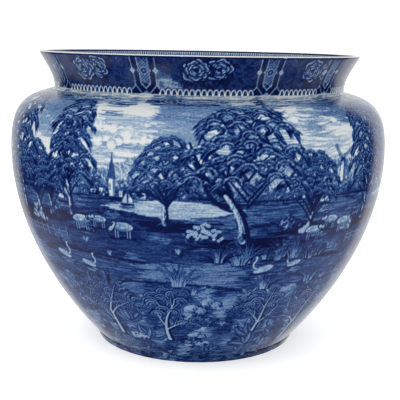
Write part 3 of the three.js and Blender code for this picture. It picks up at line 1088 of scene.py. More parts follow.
def pond(plate, top, low):
    """Dark still water with bright level streaks."""
    plate.between(top, low, 0.72)
    water = plate.inside(top, low)
    plate.strokes(water, 4200, 15, 0.7, 0.8, 0, 0.02, 0.0)
    plate.strokes(water & plate.inside(top, top + 4), 2600, 7, 0.9, 0.97, 0, 0.03, 0.0)
    plate.strokes(water & (plate.wave(4, 16, 0.3) > 0.15), 1200, 16, 0.7, 0.38, 0, 0.02, 0.0)
    plate.strokes(water, 1500, 12, 0.5, 0.45, 0, 0.02, 0.0)


# %% The whole print
# Shares by which the pale parts are darkened, by distance down: least near the neck, most below the belly.
PALE_DARKENING_DOWN_THE_WALL = ((0, 0.08), (90, 0.10), (115, 0.26), (160, 0.32), (190, 0.30), (300, 0.28))


def printed_scene(plate):
    """Parkland with a lake: the far things first, then nearer ones over them."""
    rng = plate.rng

    def spot(degrees, y, size=1.0, flip=1):
        """A motif so many degrees round from the front."""
        return Motif(plate, plate.width / 2 + math.radians(degrees) * BELLY_RADIUS, y, size, flip)

    def on_bank(degrees, drop):
        """A motif so far below where the wooded bank starts there."""
        start = float(np.interp(spot(degrees, 0).x % plate.width, plate.across, bank))
        return spot(degrees, start + drop)

    def at_each(draw, *places):
        """The same thing at each place: degrees, distance down, size and flip."""
        for place in places:
            draw(spot(*place))

    sky(plate)
    for degrees in (-30, 36, 104, -118, 178):
        birds(spot(degrees, 46 + rng.uniform(-8, 8)))
    far_shore(plate)
    at_each(village, *((degrees, 97.5, 1.05) for degrees in (-23, 122, -152)))
    at_each(windmill, (42, 87), (-100, 86), (164, 85))
    lake(plate)
    at_each(
        boat, (-38, 109, 1.05), (-18, 104, 0.65, -1), (36, 105, 0.7), (95, 109, 1, -1),
        (140, 105, 0.8), (-125, 109), (-84, 104, 0.7, -1), (-168, 107, 0.9, -1),
    )

    bank = 116 + 8 * plate.wave(3, 14, 0.9) + 0.8 * plate.wave(40, 80, 0.4)
    shore = 152 + 5 * plate.wave(3, 16, 0.9)
    turf(plate, bank, shore + 2, 0.78, 1.0)
    for grow, degrees, tall, wide, drop in (
        (elm, -74, 104, 20, 4), (elm, -82, 104, 20, 3), (oak, -50, 64, 22, 4), (elm, -60, 118, 24, 10),
        (oak, -44, 50, 18, 3), (elm, -36, 104, 19, 4), (oak, 32, 66, 24, 4), (oak, -8, 72, 24, 4),
        (oak, 13, 122, 46, 12), (poplar, 76, 84, 13, 3), (poplar, 81, 104, 16, 5), (poplar, 87, 96, 15, 7),
        (elm, 66, 96, 22, 6), (elm, 56, 112, 26, 10), (oak, 102, 104, 40, 8), (oak, 116, 60, 20, 3),
        (elm, 134, 104, 20, 6), (elm, 143, 96, 18, 5), (poplar, 150, 92, 13, 5), (oak, 176, 108, 44, 9),
        (oak, -166, 62, 22, 4), (poplar, -141, 94, 14, 5), (poplar, -136, 82, 12, 3),
        (oak, -114, 104, 40, 9), (elm, -92, 96, 18, 5),
    ):
        grow(on_bank(degrees, drop), tall, wide)
    for degrees, wide, tall, flowers, drop in (
        (-66, 34, 14, 0, 6), (-52, 24, 12, 26, 12), (-42, 18, 9, 0, 5), (2, 30, 15, 46, 13),
        (26, 22, 12, 0, 9), (48, 24, 13, 34, 15), (31, 14, 8, 16, 11), (52, 20, 10, 0, 5),
        (66, 30, 12, 0, 9), (73, 18, 10, 20, 13), (88, 30, 14, 40, 12), (108, 24, 11, 0, 7),
        (128, 28, 13, 0, 8), (146, 24, 12, 30, 12), (166, 30, 14, 44, 12), (-172, 24, 11, 0, 7),
        (-150, 22, 11, 22, 9), (-130, 28, 12, 0, 8), (-104, 28, 14, 44, 12), (-82, 26, 12, 0, 8),
    ):
        bush(on_bank(degrees, drop), wide, tall, flowers)
    at_each(
        sheep, (-33, 130, 1.25), (-27, 126, 1.0, -1), (-20, 133, 1.3, -1), (40, 128, 1.15, -1),
        (46, 133, 1.3), (34, 136, 1.2), (104, 130, 1.2), (112, 134, 1.3, -1), (158, 130, 1.2, -1),
        (-178, 134, 1.25), (-122, 131, 1.2), (-140, 134, 1.3, -1), (-90, 133, 1.2),
    )
    for degrees, y, posts in ((-64, 143, 9), (50, 146, 10), (126, 144, 9), (-110, 145, 9), (-160, 143, 9)):
        fence(spot(degrees, y), posts)

    pond_low = 178 + 5 * plate.wave(3, 14, 0.9)
    pond(plate, shore, pond_low + 2)
    at_each(
        swan, (-44, 163, 1.25), (-34, 167, 1.1), (20, 165, 1.3, -1), (30, 161, 1.0, -1), (90, 167, 1.3),
        (102, 171, 1.1), (160, 167, 1.3, -1), (-168, 171, 1.1, -1), (-112, 167, 1.3), (-98, 172, 1.1, -1),
    )
    for middle in rng.uniform(-180, 180, 13):
        for degrees in rng.normal(middle, 4, rng.integers(1, 5)):
            tall = rng.uniform(9, 24)
            blades(spot(degrees, rng.uniform(148, 156)), int(tall), tall, tall * 0.35, 0.3)
    turf(plate, pond_low, np.full(plate.columns, plate.height), 0.6, 0.5)
    undergrowth(plate, spot)
    # The pale parts are darkened more further down the wall.
    deepened(plate, PALE_DARKENING_DOWN_THE_WALL)


def deepened(plate, steps):
    """The pale parts darkened by a share that changes down the wall, given as (distance down, share)."""
    down, share = zip(*steps)
    plate.tone += (1 - plate.tone) ** 2.5 * np.interp(plate.down, down, share)[:, None].astype(np.float32)


def undergrowth(plate, spot):
    """Rocks, ferns, docks and flowers, from the pond down to the foot."""
    rng = plate.rng
    for degrees in rng.uniform(-180, 180, 34):
        tall = rng.uniform(9, 24)
        blades(spot(degrees, rng.uniform(176, 192)), int(tall * 1.2), tall, tall * 0.4, 0.25)
    for y0, count, size in ((196, 26, 0.8), (212, 26, 0.9), (230, 24, 0.95), (246, 22, 0.9)):
        planted(plate, spot, y0, count, size)
    for k in range(15):
        degrees = -176 + k * 24 + rng.normal(0, 3)
        birch(spot(degrees, 257 + rng.uniform(-10, 8)), rng.uniform(60, 80), rng.uniform(14, 21))
        bush(spot(degrees + 8, 254), 20, 10, rng.choice([0, 26]))
    planted(plate, spot, 264, 26, 0.85)
    planted(plate, spot, 276, 22, 0.8)
    plate.strokes(plate.inside(268, plate.height), 700, 12, 0.9, 0.97, 0, 0.1, 0.1, 0.85)


def planted(plate, spot, y0, count, size):
    """One row of plants and stones, in a random order, round the pot."""
    rng = plate.rng
    start = rng.uniform(0, 360)
    kinds = rng.permutation(np.resize(["rock", "fern", "dock", "bloom", "bush", "fern", "bush"], count))
    for k, kind in enumerate(kinds):
        m = spot(start + k * 360 / count + rng.normal(0, 90 / count), y0 + rng.uniform(-6, 6), size)
        if kind == "rock":
            rock(m, rng.uniform(14, 26), rng.uniform(8, 14), 0.34)
            rock(Motif(plate, m.x + 9, m.y + 2), rng.uniform(8, 12), rng.uniform(5, 8), 0.42)
        elif kind == "fern":
            for a in rng.permutation([0.35, 0.95, 1.5, 2.1, 2.75]):
                fern(m, a + rng.normal(0, 0.12), rng.uniform(16, 25), 0.25)
        elif kind == "dock":
            for a in rng.permutation([0.2, 0.85, 1.55, 2.3, 2.9]):
                broad_leaf(m, a + rng.normal(0, 0.15), rng.uniform(13, 21), rng.uniform(6, 9), 0.36)
        elif kind == "bush":
            bush(m, rng.uniform(20, 34), rng.uniform(11, 17), rng.choice([0, 30]), 0.78)
        else:
            for a in rng.permutation([0.3, 1.1, 2.0, 2.8]):
                broad_leaf(m, a + rng.normal(0, 0.2), rng.uniform(11, 15), 6, 0.4)
            blossom(m, rng.uniform(6.5, 9), 3, 0.1, 0.15)


# %% The border of the collar
BORDER_REPEAT = 41.5
BORDER_REPEATS = 9


def printed_border(plate, lip):
    """Pale flowers and straps on a deep mottled ground, over a row of loops.

    The transfer repeats a little less than nine times, so its last flowers lie
    half under the first strap, where its two ends meet.
    """
    rng = plate.rng
    down = plate.down[:, None]
    plate.tone[:] = 0.89
    field = plate.inside(0, plate.height)
    plate.strokes(field, 2600, 14, 2.6, 0.97, 0, 1.5, 0.3, 0.75)
    plate.strokes(field, 1300, 10, 2.0, 0.7, 0, 1.5, 0.3, 0.6)
    plate.strokes(field, 2600, 5, 0.5, 0.7, 0.6, 0.2, 0.0, 0.8)
    pitch = plate.width * BORDER_REPEAT / 360
    middle = (lip + plate.height) / 2 - 5.4
    straps = [(0.5 - k) * pitch for k in range(BORDER_REPEATS)]
    for k in range(-1, BORDER_REPEATS - 1):
        x = -k * pitch
        for side in (-1, 1):
            for y0, angle in ((middle - 5, 0.5), (middle + 6, -0.4), (middle, 0.0)):
                leaf = Motif(plate, x + side * pitch * 0.27, y0, 1.0, side)
                turned, long = angle + rng.normal(0, 0.2), rng.uniform(12, 17)
                broad_leaf(leaf, turned, long, 6.5, rng.uniform(0.56, 0.68), 0.97, 0.9)
        for dx, dy, size in ((9.6, 0.4, 9.6), (-9.6, -0.4, 10.8)):
            m = Motif(plate, x + dx, middle - dy)
            for angle in (0.3, 2.6, 3.9, 4.4, 5.0, 5.7):
                broad_leaf(m, angle + rng.normal(0, 0.15), 17, 6.0, 0.92, 1.0, 0.7)
            rose(m, size)
    from_front = (plate.across + plate.width / 2) % plate.width - plate.width / 2
    worn = (from_front > -45) & (from_front < -58 + 1.3 * down) & (down < 29)
    plate.strokes(worn, 60, 7, 1.5, 0.5, 0.5, 0.6, 0.2, 0.6)
    plate.strokes(worn & (down > 20), 26, 5, 1.2, 0.2, 0.3, 0.5, 0.2, 0.7)
    for x in straps:
        strap(plate, x, lip)
    hem(plate, 5.3, straps, 14.5)
    plate.tone[plate.down < lip] = 0.12
    plate.strokes(plate.inside(lip - 0.4, lip + 0.8), plate.width, 5, 0.8, 0.95, 0, 0.01, 0.0)


def strap(plate, x, lip):
    """A strap with pale edges, a pointed lattice panel and two splayed feet."""
    m = Motif(plate, x, plate.height)
    top = plate.height - lip
    waist = 0.5 * top + 3.6
    half = np.array([10.5, 9.3, 13.2, 12.6])
    m.shape(np.r_[-half[0], half, -half[:0:-1]], [top, top, 7.5, 3.2, 0.8, 0.8, 3.2, 7.5], 0.96)
    m.shape([-3.3, 3.3, 0.0], [0.6, 0.6, 3.4], 0.4)
    panel_x = np.array([4.8, 4.5, 5.9, 4.4, 4.2, 0.0])
    panel_y = np.array([top, waist + 1.6, waist, waist - 1.6, 9.2, 4.8])
    m.shape(np.r_[panel_x, -panel_x[::-1]], np.r_[panel_y, panel_y[::-1]], 0.9)
    for k in range(12):
        for slope in (-1, 1):
            level = 8.4 + k * 2.7
            if level + 4 < top:
                ends = [level - 4 * slope, level + 4 * slope] if level > 10 else [level + 4, level]
                m.line([-4, 4], ends, 0.7, 0.42)
    a = np.linspace(0, TURN, 13)
    m.shape(np.cos(a) * 3.2, waist + np.sin(a) * 3.2, 0.9, 0.35, 1.0)
    m.dots([0], [waist], 2.0, 0.45)
    for side in (-1, 1):
        m.line(side * panel_x, panel_y, 0.9, 0.24)
        for near, far, start, end, tone in (
            (10.5, 9.9, top, waist, 0.28), (9.9, 9.3, waist, 7.5, 0.28),
            (9.3, 3.2, 7.5, 0.4, 0.24), (9.3, 13.2, 7.5, 3.0, 0.24),
        ):
            m.line([side * near, side * far], [start, end], 0.9, tone)
        stud = side * 9.9 + np.array([-2.2, 0, 2.2, 0])
        m.shape(stud, [waist, waist + 2.5, waist, waist - 2.5], 0.36, 0.15, 0.6)


def hem(plate, pitch, straps=(), strap_half=0.0):
    """White loops along the foot of a border, over a bare band, not under the straps."""
    count = round(plate.width / pitch)
    step = plate.width / count
    x = (np.arange(count) + 0.5) * plate.width / count
    y = plate.height - 1.6
    plate.tone[plate.down > plate.height - 0.7] = 0.05
    for strap_x in straps:
        away = (x - strap_x + plate.width / 2) % plate.width - plate.width / 2
        x = x[np.abs(away) > strap_half]
    a = np.linspace(-0.35, math.pi + 0.35, 10)
    px = x[:, None] + np.cos(a) * (step * 0.4)
    py = np.broadcast_to(y - np.sin(a) * 3.6 + 0.4, px.shape)
    for wide, tone in ((2.2, 0.97), (1.1, 0.04)):
        plate.lines(px, py, wide, tone)
    gaps = np.stack([x - step / 2] * 2, 1)
    plate.lines(gaps, np.broadcast_to([y + 0.2, plate.height], gaps.shape), 1.3, 0.03)


# %% The inside of the rim


def printed_rim(plate):
    """A deep band with pale sprays, and loops along its lower edge."""
    rng = plate.rng
    field = plate.inside(0, plate.height)
    plate.tone[:] = 0.84
    plate.strokes(field, 1500, 12, 2.4, 0.98, 0, 1.5, 0.3, 0.75)
    plate.strokes(field, 900, 7, 0.6, 0.6, 0, 0.4, 0.2, 0.7)
    middle = plate.height / 2 + 0.8
    count = 24
    pitch = plate.width / count
    t = np.linspace(0, 1, 25)
    for k in range(count):
        m = Motif(plate, (k + 0.5) * pitch, middle, 1.0, 1 if k % 2 else -1)
        m.line((t - 0.5) * pitch, np.sin(t * TURN) * 1.8, 0.9, 0.2)
        for share in (0.12, 0.36, 0.62, 0.88):
            dx, dy = (share - 0.5) * pitch, math.sin(share * TURN) * 1.8
            for angle in (0.9, -0.9):
                leaf = Motif(plate, m.x + dx * m.flip, middle - dy, 0.42, m.flip)
                broad_leaf(leaf, angle + rng.normal(0, 0.2), 9.0, 5.0, 0.3, 0.98)
        if k % 3 == 0:
            blossom(Motif(plate, k * pitch, middle), 3.8, 2, 0.1, 0.0, 0.95)
    plate.tone[plate.down < 5.2] = 0.16
    ticks = np.stack([plate.width / 360 * (np.arange(360) + 0.5)] * 2, 1)
    plate.lines(ticks, np.broadcast_to([2.4, 4.4], ticks.shape), 1.3, 0.8)
    # A dark line along the lip's inner round: partly print, partly painted shade along the inner edge of the
    # lip.
    plate.tone[plate.down < 1.5] = 0.95
    plate.tone[(plate.down > 5.2) & (plate.down < 6.0)] = 0.97
    hem(plate, 5.3)


# %% Cutting the three plates
PRINT_LENGTH = WALL_LENGTH + FOOT_HEIGHT
RIM_BAND = 18.0
LIP_PRINTED = 0.8
# The inner print starts on the lip's inner round, so that its dark top line, partly print and partly painted
# shade, lies there.
LIP_BARE = -1.8
LIP_TONE = 0.02
flare_start, inner_start = (NECK_RADIUS, FLARE_START), (NECK_BORE, FLARE_START)
outer_flare = evenly(flare(flare_start, outer_edge, 100), 44)
inner_flare = evenly(flare(inner_start, inner_edge, 100), 26)
BORDER_HEIGHT = float(length_along(outer_flare)[-1]) + LIP_PRINTED


def wall_share(y):
    """Radius so far down from the neck, as a share of the belly's."""
    return float(np.interp(WALL_LENGTH - y, wall_run, wall_line[:, 0])) / BELLY_RADIUS


def border_share(y):
    """Radius so far down from the lip, as a share of the lip's."""
    return 1 + (NECK_RADIUS / LIP_RADIUS - 1) * y / BORDER_HEIGHT


scene_plate = Plate(TURN * BELLY_RADIUS, PRINT_LENGTH, wall_share, 11)
printed_scene(scene_plate)
border_plate = Plate(TURN * LIP_RADIUS, BORDER_HEIGHT, border_share, 5)
printed_border(border_plate, 0.4)
rim_plate = Plate(TURN * LIP_RADIUS, RIM_BAND, border_share, 8)
printed_rim(rim_plate)
for plate in (scene_plate, border_plate, rim_plate):
    print("a plate of", plate.tone.shape, "dots with a mean tone of", round(float(plate.tone.mean()), 3))


# %% [markdown]
# ## The pieces
#
# The print goes on the biscuit bowl as six sheets of thin tissue, one beside
# the other, so the skin of the bowl is six thin shells here too. The clay
# behind them keeps its own floor, inside and joint faces.

# %% Sheets and steps
SHEETS = 6
SKIN = 0.5
SHEET_ROWS = 350
BACK_ROWS = 20
SHEET_STEPS = 262
RING_STEPS = 360
FOOT_STEPS = 720

# %% [markdown]
# ## Glazes
#
# The cobalt lies under a clear glaze, so colour and gloss are kept apart: the
# tone of the print picks a blue, and one smooth glossy surface lies over it.
# The blues come from one formula, the way a coloured glass dims light: each
# layer takes the same share, most of red and least of blue, so thin cobalt is a
# greyed sky blue and thick cobalt nearly black. Its strengths were chosen by
# comparing renders with the real pot. Noise stands for ink that bled in the
# kiln, and hair cracks show where the slip is bare of print.

# %% Colours
WHITE_SLIP = (216, 212, 204)
BUFF = (196, 170, 138)
DIMMED_BY_COBALT = (8.5, 5.9, 3.05)
BLUE_STEPS = 16


def linear(colour, share=1.0):
    """A screen colour, 0 to 255, as the light that a shader works with."""
    c = np.array(colour) / 255
    return (*(np.where(c <= 0.04045, c / 12.92, ((c + 0.055) / 1.055) ** 2.4) * share), 1.0)


def cobalt_blue(tone):
    """The glazed slip seen through cobalt, whose depth grows faster than the tone of the print."""
    depth = 0.2 * tone + 0.65 * tone**2 + 0.15 * tone**10
    slip = linear(WHITE_SLIP)[:3]
    return (*(light * math.exp(-dimmed * depth) for light, dimmed in zip(slip, DIMMED_BY_COBALT)), 1.0)


# %% The cobalt group


def blend(tree, share, first, second):
    """A colour between two others."""
    links = {0: share, 6: first, 7: second}
    return joined(tree, "ShaderNodeMix", links, data_type="RGBA").outputs[2]

def cobalt_tree():
    """Tone in, colour of the glazed print and height of the glaze out."""
    tree = bpy.data.node_groups.new("cobalt_print", "ShaderNodeTree")
    tree.interface.new_socket("Color", in_out="OUTPUT", socket_type="NodeSocketColor")
    tree.interface.new_socket("Height", in_out="OUTPUT", socket_type="NodeSocketFloat")
    tone = joined(tree, "ShaderNodeAttribute", attribute_name="tone").outputs["Fac"]
    place = joined(tree, "ShaderNodeTexCoord").outputs["Object"]

    def noise(scale, detail=2.0):
        links = {"Vector": place, "Scale": scale, "Detail": detail}
        return joined(tree, "ShaderNodeTexNoise", links).outputs["Fac"]

    grain = sum_of(tree, "MULTIPLY_ADD", noise(700.0), 0.34, -0.17)
    middle = sum_of(tree, "MULTIPLY", tone, sum_of(tree, "SUBTRACT", 1.06, tone))
    grain = sum_of(tree, "MULTIPLY", grain, sum_of(tree, "MULTIPLY", middle, 4.0))
    wash = sum_of(tree, "MULTIPLY_ADD", noise(16.0, 3.0), 0.20, 0.90)
    ink = sum_of(tree, "ADD", sum_of(tree, "MULTIPLY", tone, wash), grain)
    ramp = joined(tree, "ShaderNodeValToRGB", {"Fac": ink})
    stops = ramp.color_ramp.elements
    for k in range(1, BLUE_STEPS):
        stops.new(k / BLUE_STEPS)
    for stop in stops:
        stop.color = cobalt_blue(stop.position)

    cells = joined(
        tree, "ShaderNodeTexVoronoi", {"Vector": place, "Scale": 95.0}, feature="DISTANCE_TO_EDGE"
    )
    links = {"Value": cells.outputs["Distance"], "From Max": 0.022, "To Min": 0.16, "To Max": 0.0}
    crack = joined(tree, "ShaderNodeMapRange", links).outputs["Result"]
    crack = sum_of(tree, "MULTIPLY", crack, sum_of(tree, "SUBTRACT", 1.0, tone))
    coloured = blend(tree, crack, ramp.outputs["Color"], linear(BUFF, 0.5))
    joined(tree, "NodeGroupOutput", {"Color": coloured, "Height": noise(55.0)})
    return tree


cobalt = cobalt_tree()

# %% The four glazes
GLAZE_ROUGHNESS = 0.13


def plain(name, colour, rough):
    """A material of one colour."""
    material = bpy.data.materials.new(name)
    material.use_nodes = True
    shader = material.node_tree.nodes["Principled BSDF"]
    shader.inputs["Base Color"].default_value = colour
    shader.inputs["Roughness"].default_value = rough
    return material


def glazed(name, bare_below=None):
    """Cobalt under a clear glaze; below a given height, in m, the clay is bare."""
    material = plain(name, linear(WHITE_SLIP), GLAZE_ROUGHNESS)
    tree = material.node_tree
    shader = tree.nodes["Principled BSDF"]
    group = joined(tree, "ShaderNodeGroup")
    group.node_tree = cobalt
    colour = group.outputs["Color"]
    links = {"Height": group.outputs["Height"], "Strength": 0.05, "Distance": 0.001}
    bump = joined(tree, "ShaderNodeBump", links).outputs["Normal"]
    tree.links.new(bump, shader.inputs["Normal"])
    if bare_below is not None:
        place = joined(tree, "ShaderNodeTexCoord").outputs["Object"]
        height = joined(tree, "ShaderNodeSeparateXYZ", {0: place}).outputs["Z"]
        edge = joined(tree, "ShaderNodeTexNoise", {"Vector": place, "Scale": 220.0}).outputs["Fac"]
        level = sum_of(tree, "MULTIPLY_ADD", edge, bare_below, bare_below * 0.5)
        bare = sum_of(tree, "LESS_THAN", height, level)
        colour = blend(tree, bare, colour, linear(BUFF))
        links = {"Value": bare, "To Min": GLAZE_ROUGHNESS, "To Max": 0.8}
        rough = joined(tree, "ShaderNodeMapRange", links).outputs["Result"]
        tree.links.new(rough, shader.inputs["Roughness"])
    tree.links.new(colour, shader.inputs["Base Color"])
    return material


printed_glaze = glazed("printed_glaze")
border_glaze = glazed("border_glaze")
foot_glaze = glazed("foot_glaze", bare_below=0.0002)
cream_glaze = glazed("cream_glaze")
print("glazes:", *(m.name for m in (printed_glaze, border_glaze, foot_glaze, cream_glaze)))

# %% The six sheets
face_line = evenly(wall_line, SHEET_ROWS)
back_line = evenly(inside_of(wall_line, SKIN), BACK_ROWS)
face_run = np.linspace(0, WALL_LENGTH, SHEET_ROWS)
sheet_line = np.vstack([face_line, back_line[::-1]])
sheet_run = np.r_[face_run, -1.0 - np.arange(BACK_ROWS)]
sheets = []
for k in range(SHEETS):
    start = -TURN / 4 + (k - 0.5) * TURN / SHEETS
    name = f"print_sheet_{k + 1}"
    sheets.append(spun(name, sheet_line, SHEET_STEPS, printed_glaze, start, TURN / SHEETS, run=sheet_run))


# %% The clay of the bowl
under_edge = FOOT_BORE - FOOT_FILLET
crown_z = FOOT_HEIGHT + FLOOR_CROWN
under = curve([(0, crown_z), (under_edge / 2, crown_z), (under_edge, FOOT_HEIGHT)], 12)


def keyed(inner, outer, level, depth):
    """A joint face of the foot, with its square key groove halfway across."""
    half = KEY_WIDTH / 2
    return np.array([
        (inner, level), (KEY_MIDDLE - half, level), (KEY_MIDDLE - half, level + depth),
        (KEY_MIDDLE + half, level + depth), (KEY_MIDDLE + half, level), (outer, level),
    ])


foot_seat = keyed(under_edge, WAIST_RADIUS, FOOT_HEIGHT, KEY_DEPTH)
neck_seat = np.array([
    (SEAT_EDGE, NECK_Z), (STEP_RADIUS, NECK_Z), (STEP_RADIUS, NECK_Z - REBATE), (NECK_BORE, NECK_Z - REBATE),
])
inner_shoulder = inside_of(shoulder_line, BOWL_WALL)[::-5]
neck_roll = curve([(NECK_BORE, NECK_Z - REBATE), (NECK_BORE, inner_shoulder[0][1]), inner_shoulder[0]], 6)
inner_wall = inside_of(lower_line, BOWL_WALL)[::-8]
inner_wall = inner_wall[inner_wall[:, 1] > FLOOR_Z + FLOOR_CORNER]
last, before = inner_wall[-1], inner_wall[-2]
fall = (last[0] - before[0]) / (last[1] - before[1])
corner = np.array([last[0] - fall * (last[1] - FLOOR_Z), FLOOR_Z])
floor_edge = (corner[0] - np.hypot(*(corner - last)), FLOOR_Z)
floor_corner = curve([last, corner, floor_edge], 8)
clay_line = np.vstack([
    under[:-1],
    foot_seat,
    back_line[:1], evenly(inside_of(wall_line, SKIN), 60)[1:-1], back_line[-1:],
    neck_seat,
    neck_roll[1:-1], inner_shoulder, inner_wall[1:-1], floor_corner,
    [(0, FLOOR_Z)],
])
bowl_clay = spun("bowl_clay", clay_line, RING_STEPS, cream_glaze, closed=False)

# %% Collar
COLLAR_STEPS = 1170
underside = np.array([
    (NECK_BORE, NECK_Z - REBATE + SLIP), (STEP_RADIUS - SLIP, NECK_Z - REBATE + SLIP),
    (STEP_RADIUS - SLIP, NECK_Z + SLIP), (NECK_RADIUS, NECK_Z + SLIP),
])
outer_round = curve([outer_edge, (LIP_RADIUS, RIM_Z), (LIP_RADIUS - LIP_OUTER_ROUND, RIM_Z)], 5)
inner_round = curve([(inner_edge[0] + LIP_INNER_ROUND, RIM_Z), (inner_edge[0], RIM_Z), inner_edge], 6)
collar_line = np.vstack([underside, outer_flare[:-1], outer_round, inner_round, inner_flare[::-1][1:]])
collar_run = length_along(collar_line)
collar = spun("collar_glazed", collar_line, COLLAR_STEPS, border_glaze, run=collar_run)

# %% Foot ring and slip
foot_draft = (WAIST_RADIUS - FOOT_RADIUS) / (FOOT_HEIGHT - SLIP)
ground_edge = (FOOT_RADIUS + foot_draft * GROUND_ROUND, GROUND_ROUND)
foot_round = curve([(FOOT_RADIUS - GROUND_ROUND, 0), (FOOT_RADIUS, 0), ground_edge], 6)
inner_foot = FOOT_BORE + INNER_DRAFT
foot_inner = curve([(inner_foot, GROUND_ROUND), (inner_foot, 0), (inner_foot + GROUND_ROUND, 0)], 6)
fillet_end = (FOOT_BORE, FOOT_HEIGHT - SLIP - FOOT_FILLET)
ring_top = keyed(FOOT_BORE, WAIST_RADIUS, FOOT_HEIGHT - SLIP, -KEY_DEPTH)
foot_face = np.linspace(foot_round[-1], ring_top[-1], 9)[1:-1]
foot_line = np.vstack([[fillet_end], foot_inner, foot_round, foot_face, ring_top[::-1]])
foot_run = length_along(foot_line)
foot_ring = spun("foot_ring_glazed", foot_line, FOOT_STEPS, foot_glaze, run=foot_run)
foot_fillet = curve([foot_seat[0], (FOOT_BORE, FOOT_HEIGHT), fillet_end], 8)
foot_slip_line = np.vstack([foot_fillet, ring_top, foot_seat[::-1][:-1]])
foot_slip = spun("foot_slip_glazed", foot_slip_line, FOOT_STEPS, cream_glaze)
neck_fillet = curve([(SEAT_EDGE, NECK_Z), (NECK_RADIUS, NECK_Z), (NECK_RADIUS, FLARE_START)], 8)
neck_slip_line = np.vstack([neck_seat[::-1], neck_fillet[1:], underside[::-1]])
neck_slip = spun("neck_slip_glazed", neck_slip_line, RING_STEPS, cream_glaze)

# %% [markdown]
# ## Rubbing the print down
#
# A printer lays the inked tissue on the biscuit pot and rubs it down. The
# plates could be saved as images and wrapped round the pot. Instead each point
# of a printed skin looks up the tone at its own place on the plate and keeps
# it as an attribute, which the glaze reads. The skins are dense enough for
# that: their points lie less than a millimetre apart.

# %% Tones for the points of a skin
BORDER_TURN = math.radians(2.7)
# Depth into the scene from which the neck slip's streaks are read: partly a cobalt stain, partly painted
# shade in the crease under the collar.
NECK_STAIN_AND_SHADE = 6.0


def tone_at(plate, x, y):
    """Tones of a plate at places in mm, blended between its dots."""
    across = np.mod(x / DOT - 0.5, plate.columns)
    down = np.clip(y / DOT - 0.5, 0, plate.rows - 1.001)
    row, col = down.astype(int), across.astype(int) % plate.columns
    v, u, beside = down - row, across - np.floor(across), (col + 1) % plate.columns
    upper = plate.tone[row, col] * (1 - u) + plate.tone[row, beside] * u
    lower = plate.tone[row + 1, col] * (1 - u) + plate.tone[row + 1, beside] * u
    return upper * (1 - v) + lower * v


def points_of(mesh):
    """Angle from the front, radius and height of each point, in mm."""
    spots = np.empty(len(mesh.vertices) * 3)
    mesh.vertices.foreach_get("co", spots)
    x, y, z = spots.reshape(-1, 3).T / MM
    return np.arctan2(y, x) + TURN / 4, np.hypot(x, y), z


def stored(mesh, name):
    """The values of an attribute of a mesh."""
    values = np.empty(len(mesh.vertices), np.float32)
    mesh.attributes[name].data.foreach_get("value", values)
    return values


def ink(mesh, tone):
    """Keeps a tone with each point."""
    mesh.attributes.new("tone", "FLOAT", "POINT").data.foreach_set("value", tone.astype(np.float32))
    print(mesh.name, "has a mean tone of", round(float(tone.mean()), 3))


def scene_tone(angle, down):
    """Tones of the scene, so far round from the front and so far down from the neck."""
    return tone_at(scene_plate, scene_plate.width / 2 + angle * BELLY_RADIUS, down)


for sheet in sheets:
    angle, _, _ = points_of(sheet.data)
    run = stored(sheet.data, "run")
    ink(sheet.data, np.where(run >= 0, scene_tone(angle, WALL_LENGTH - run), 0))

angle, _, _ = points_of(collar.data)
run = stored(collar.data, "run")
round_lip = (angle - BORDER_TURN) * LIP_RADIUS
outer_end = collar_run[len(underside) + len(outer_flare) - 1]
inner_end = collar_run[-len(inner_flare)]
outside = (run > collar_run[len(underside) - 1]) & (run <= outer_end + LIP_PRINTED)
inside = (run >= inner_end + LIP_BARE) & (run <= inner_end + LIP_BARE + RIM_BAND)
on_lip = (run > outer_end) & (run < inner_end)
tone = np.where(outside, tone_at(border_plate, round_lip, outer_end + LIP_PRINTED - run), LIP_TONE * on_lip)
ink(collar.data, np.where(inside, tone_at(rim_plate, round_lip, run - inner_end - LIP_BARE), tone))

# The outer fillet of the neck slip takes faint streaks of the scene: partly a cobalt stain, partly painted
# shade in the crease under the collar.
angle, radius, height = points_of(neck_slip.data)
tone = 0.55 * scene_tone(angle, NECK_STAIN_AND_SHADE - height + NECK_Z)
ink(neck_slip.data, np.where(radius > STEP_RADIUS + SLIP, tone, 0))

for piece in (foot_ring, foot_slip):
    angle, radius, height = points_of(piece.data)
    outside = radius > FOOT_RADIUS - GROUND_ROUND
    tone = scene_tone(angle, WALL_LENGTH + FOOT_HEIGHT - height)
    ink(piece.data, np.where(outside, tone, 0))


# %% [markdown]
# ## Maps to bake on
#
# The glazes are worked out by nodes, and each skin gets a flat map to bake them on. Blender could unwrap each
# skin by itself, but a turned skin is a grid already: round the pot one way and along the wall the other.
# Laying that grid out as it is gives the print nearly the whole map.

# %% The maps
FACE_LOW, FACE_HIGH = 0.075, 0.995
BACK_LOW, BACK_HIGH = 0.005, 0.05
CAP_LOW, CAP_HIGH = 0.06, 0.068
SIDE = 0.01
QUARTERS = 4


def corners_of(mesh):
    """For each face corner its point, its face and how many corners that face has."""
    point = np.empty(len(mesh.loops), np.int32)
    mesh.loops.foreach_get("vertex_index", point)
    size = np.empty(len(mesh.polygons), np.int32)
    mesh.polygons.foreach_get("loop_total", size)
    return point, np.repeat(np.arange(len(size)), size), np.repeat(size, size), np.r_[0, np.cumsum(size)[:-1]]


def lay_map(mesh, u, v):
    """Puts each corner at its place on the map that the bake uses."""
    places = np.stack([u, v], axis=1).astype(np.float32)
    mesh.uv_layers.new(name="OFBake").uv.foreach_set("vector", places.ravel())


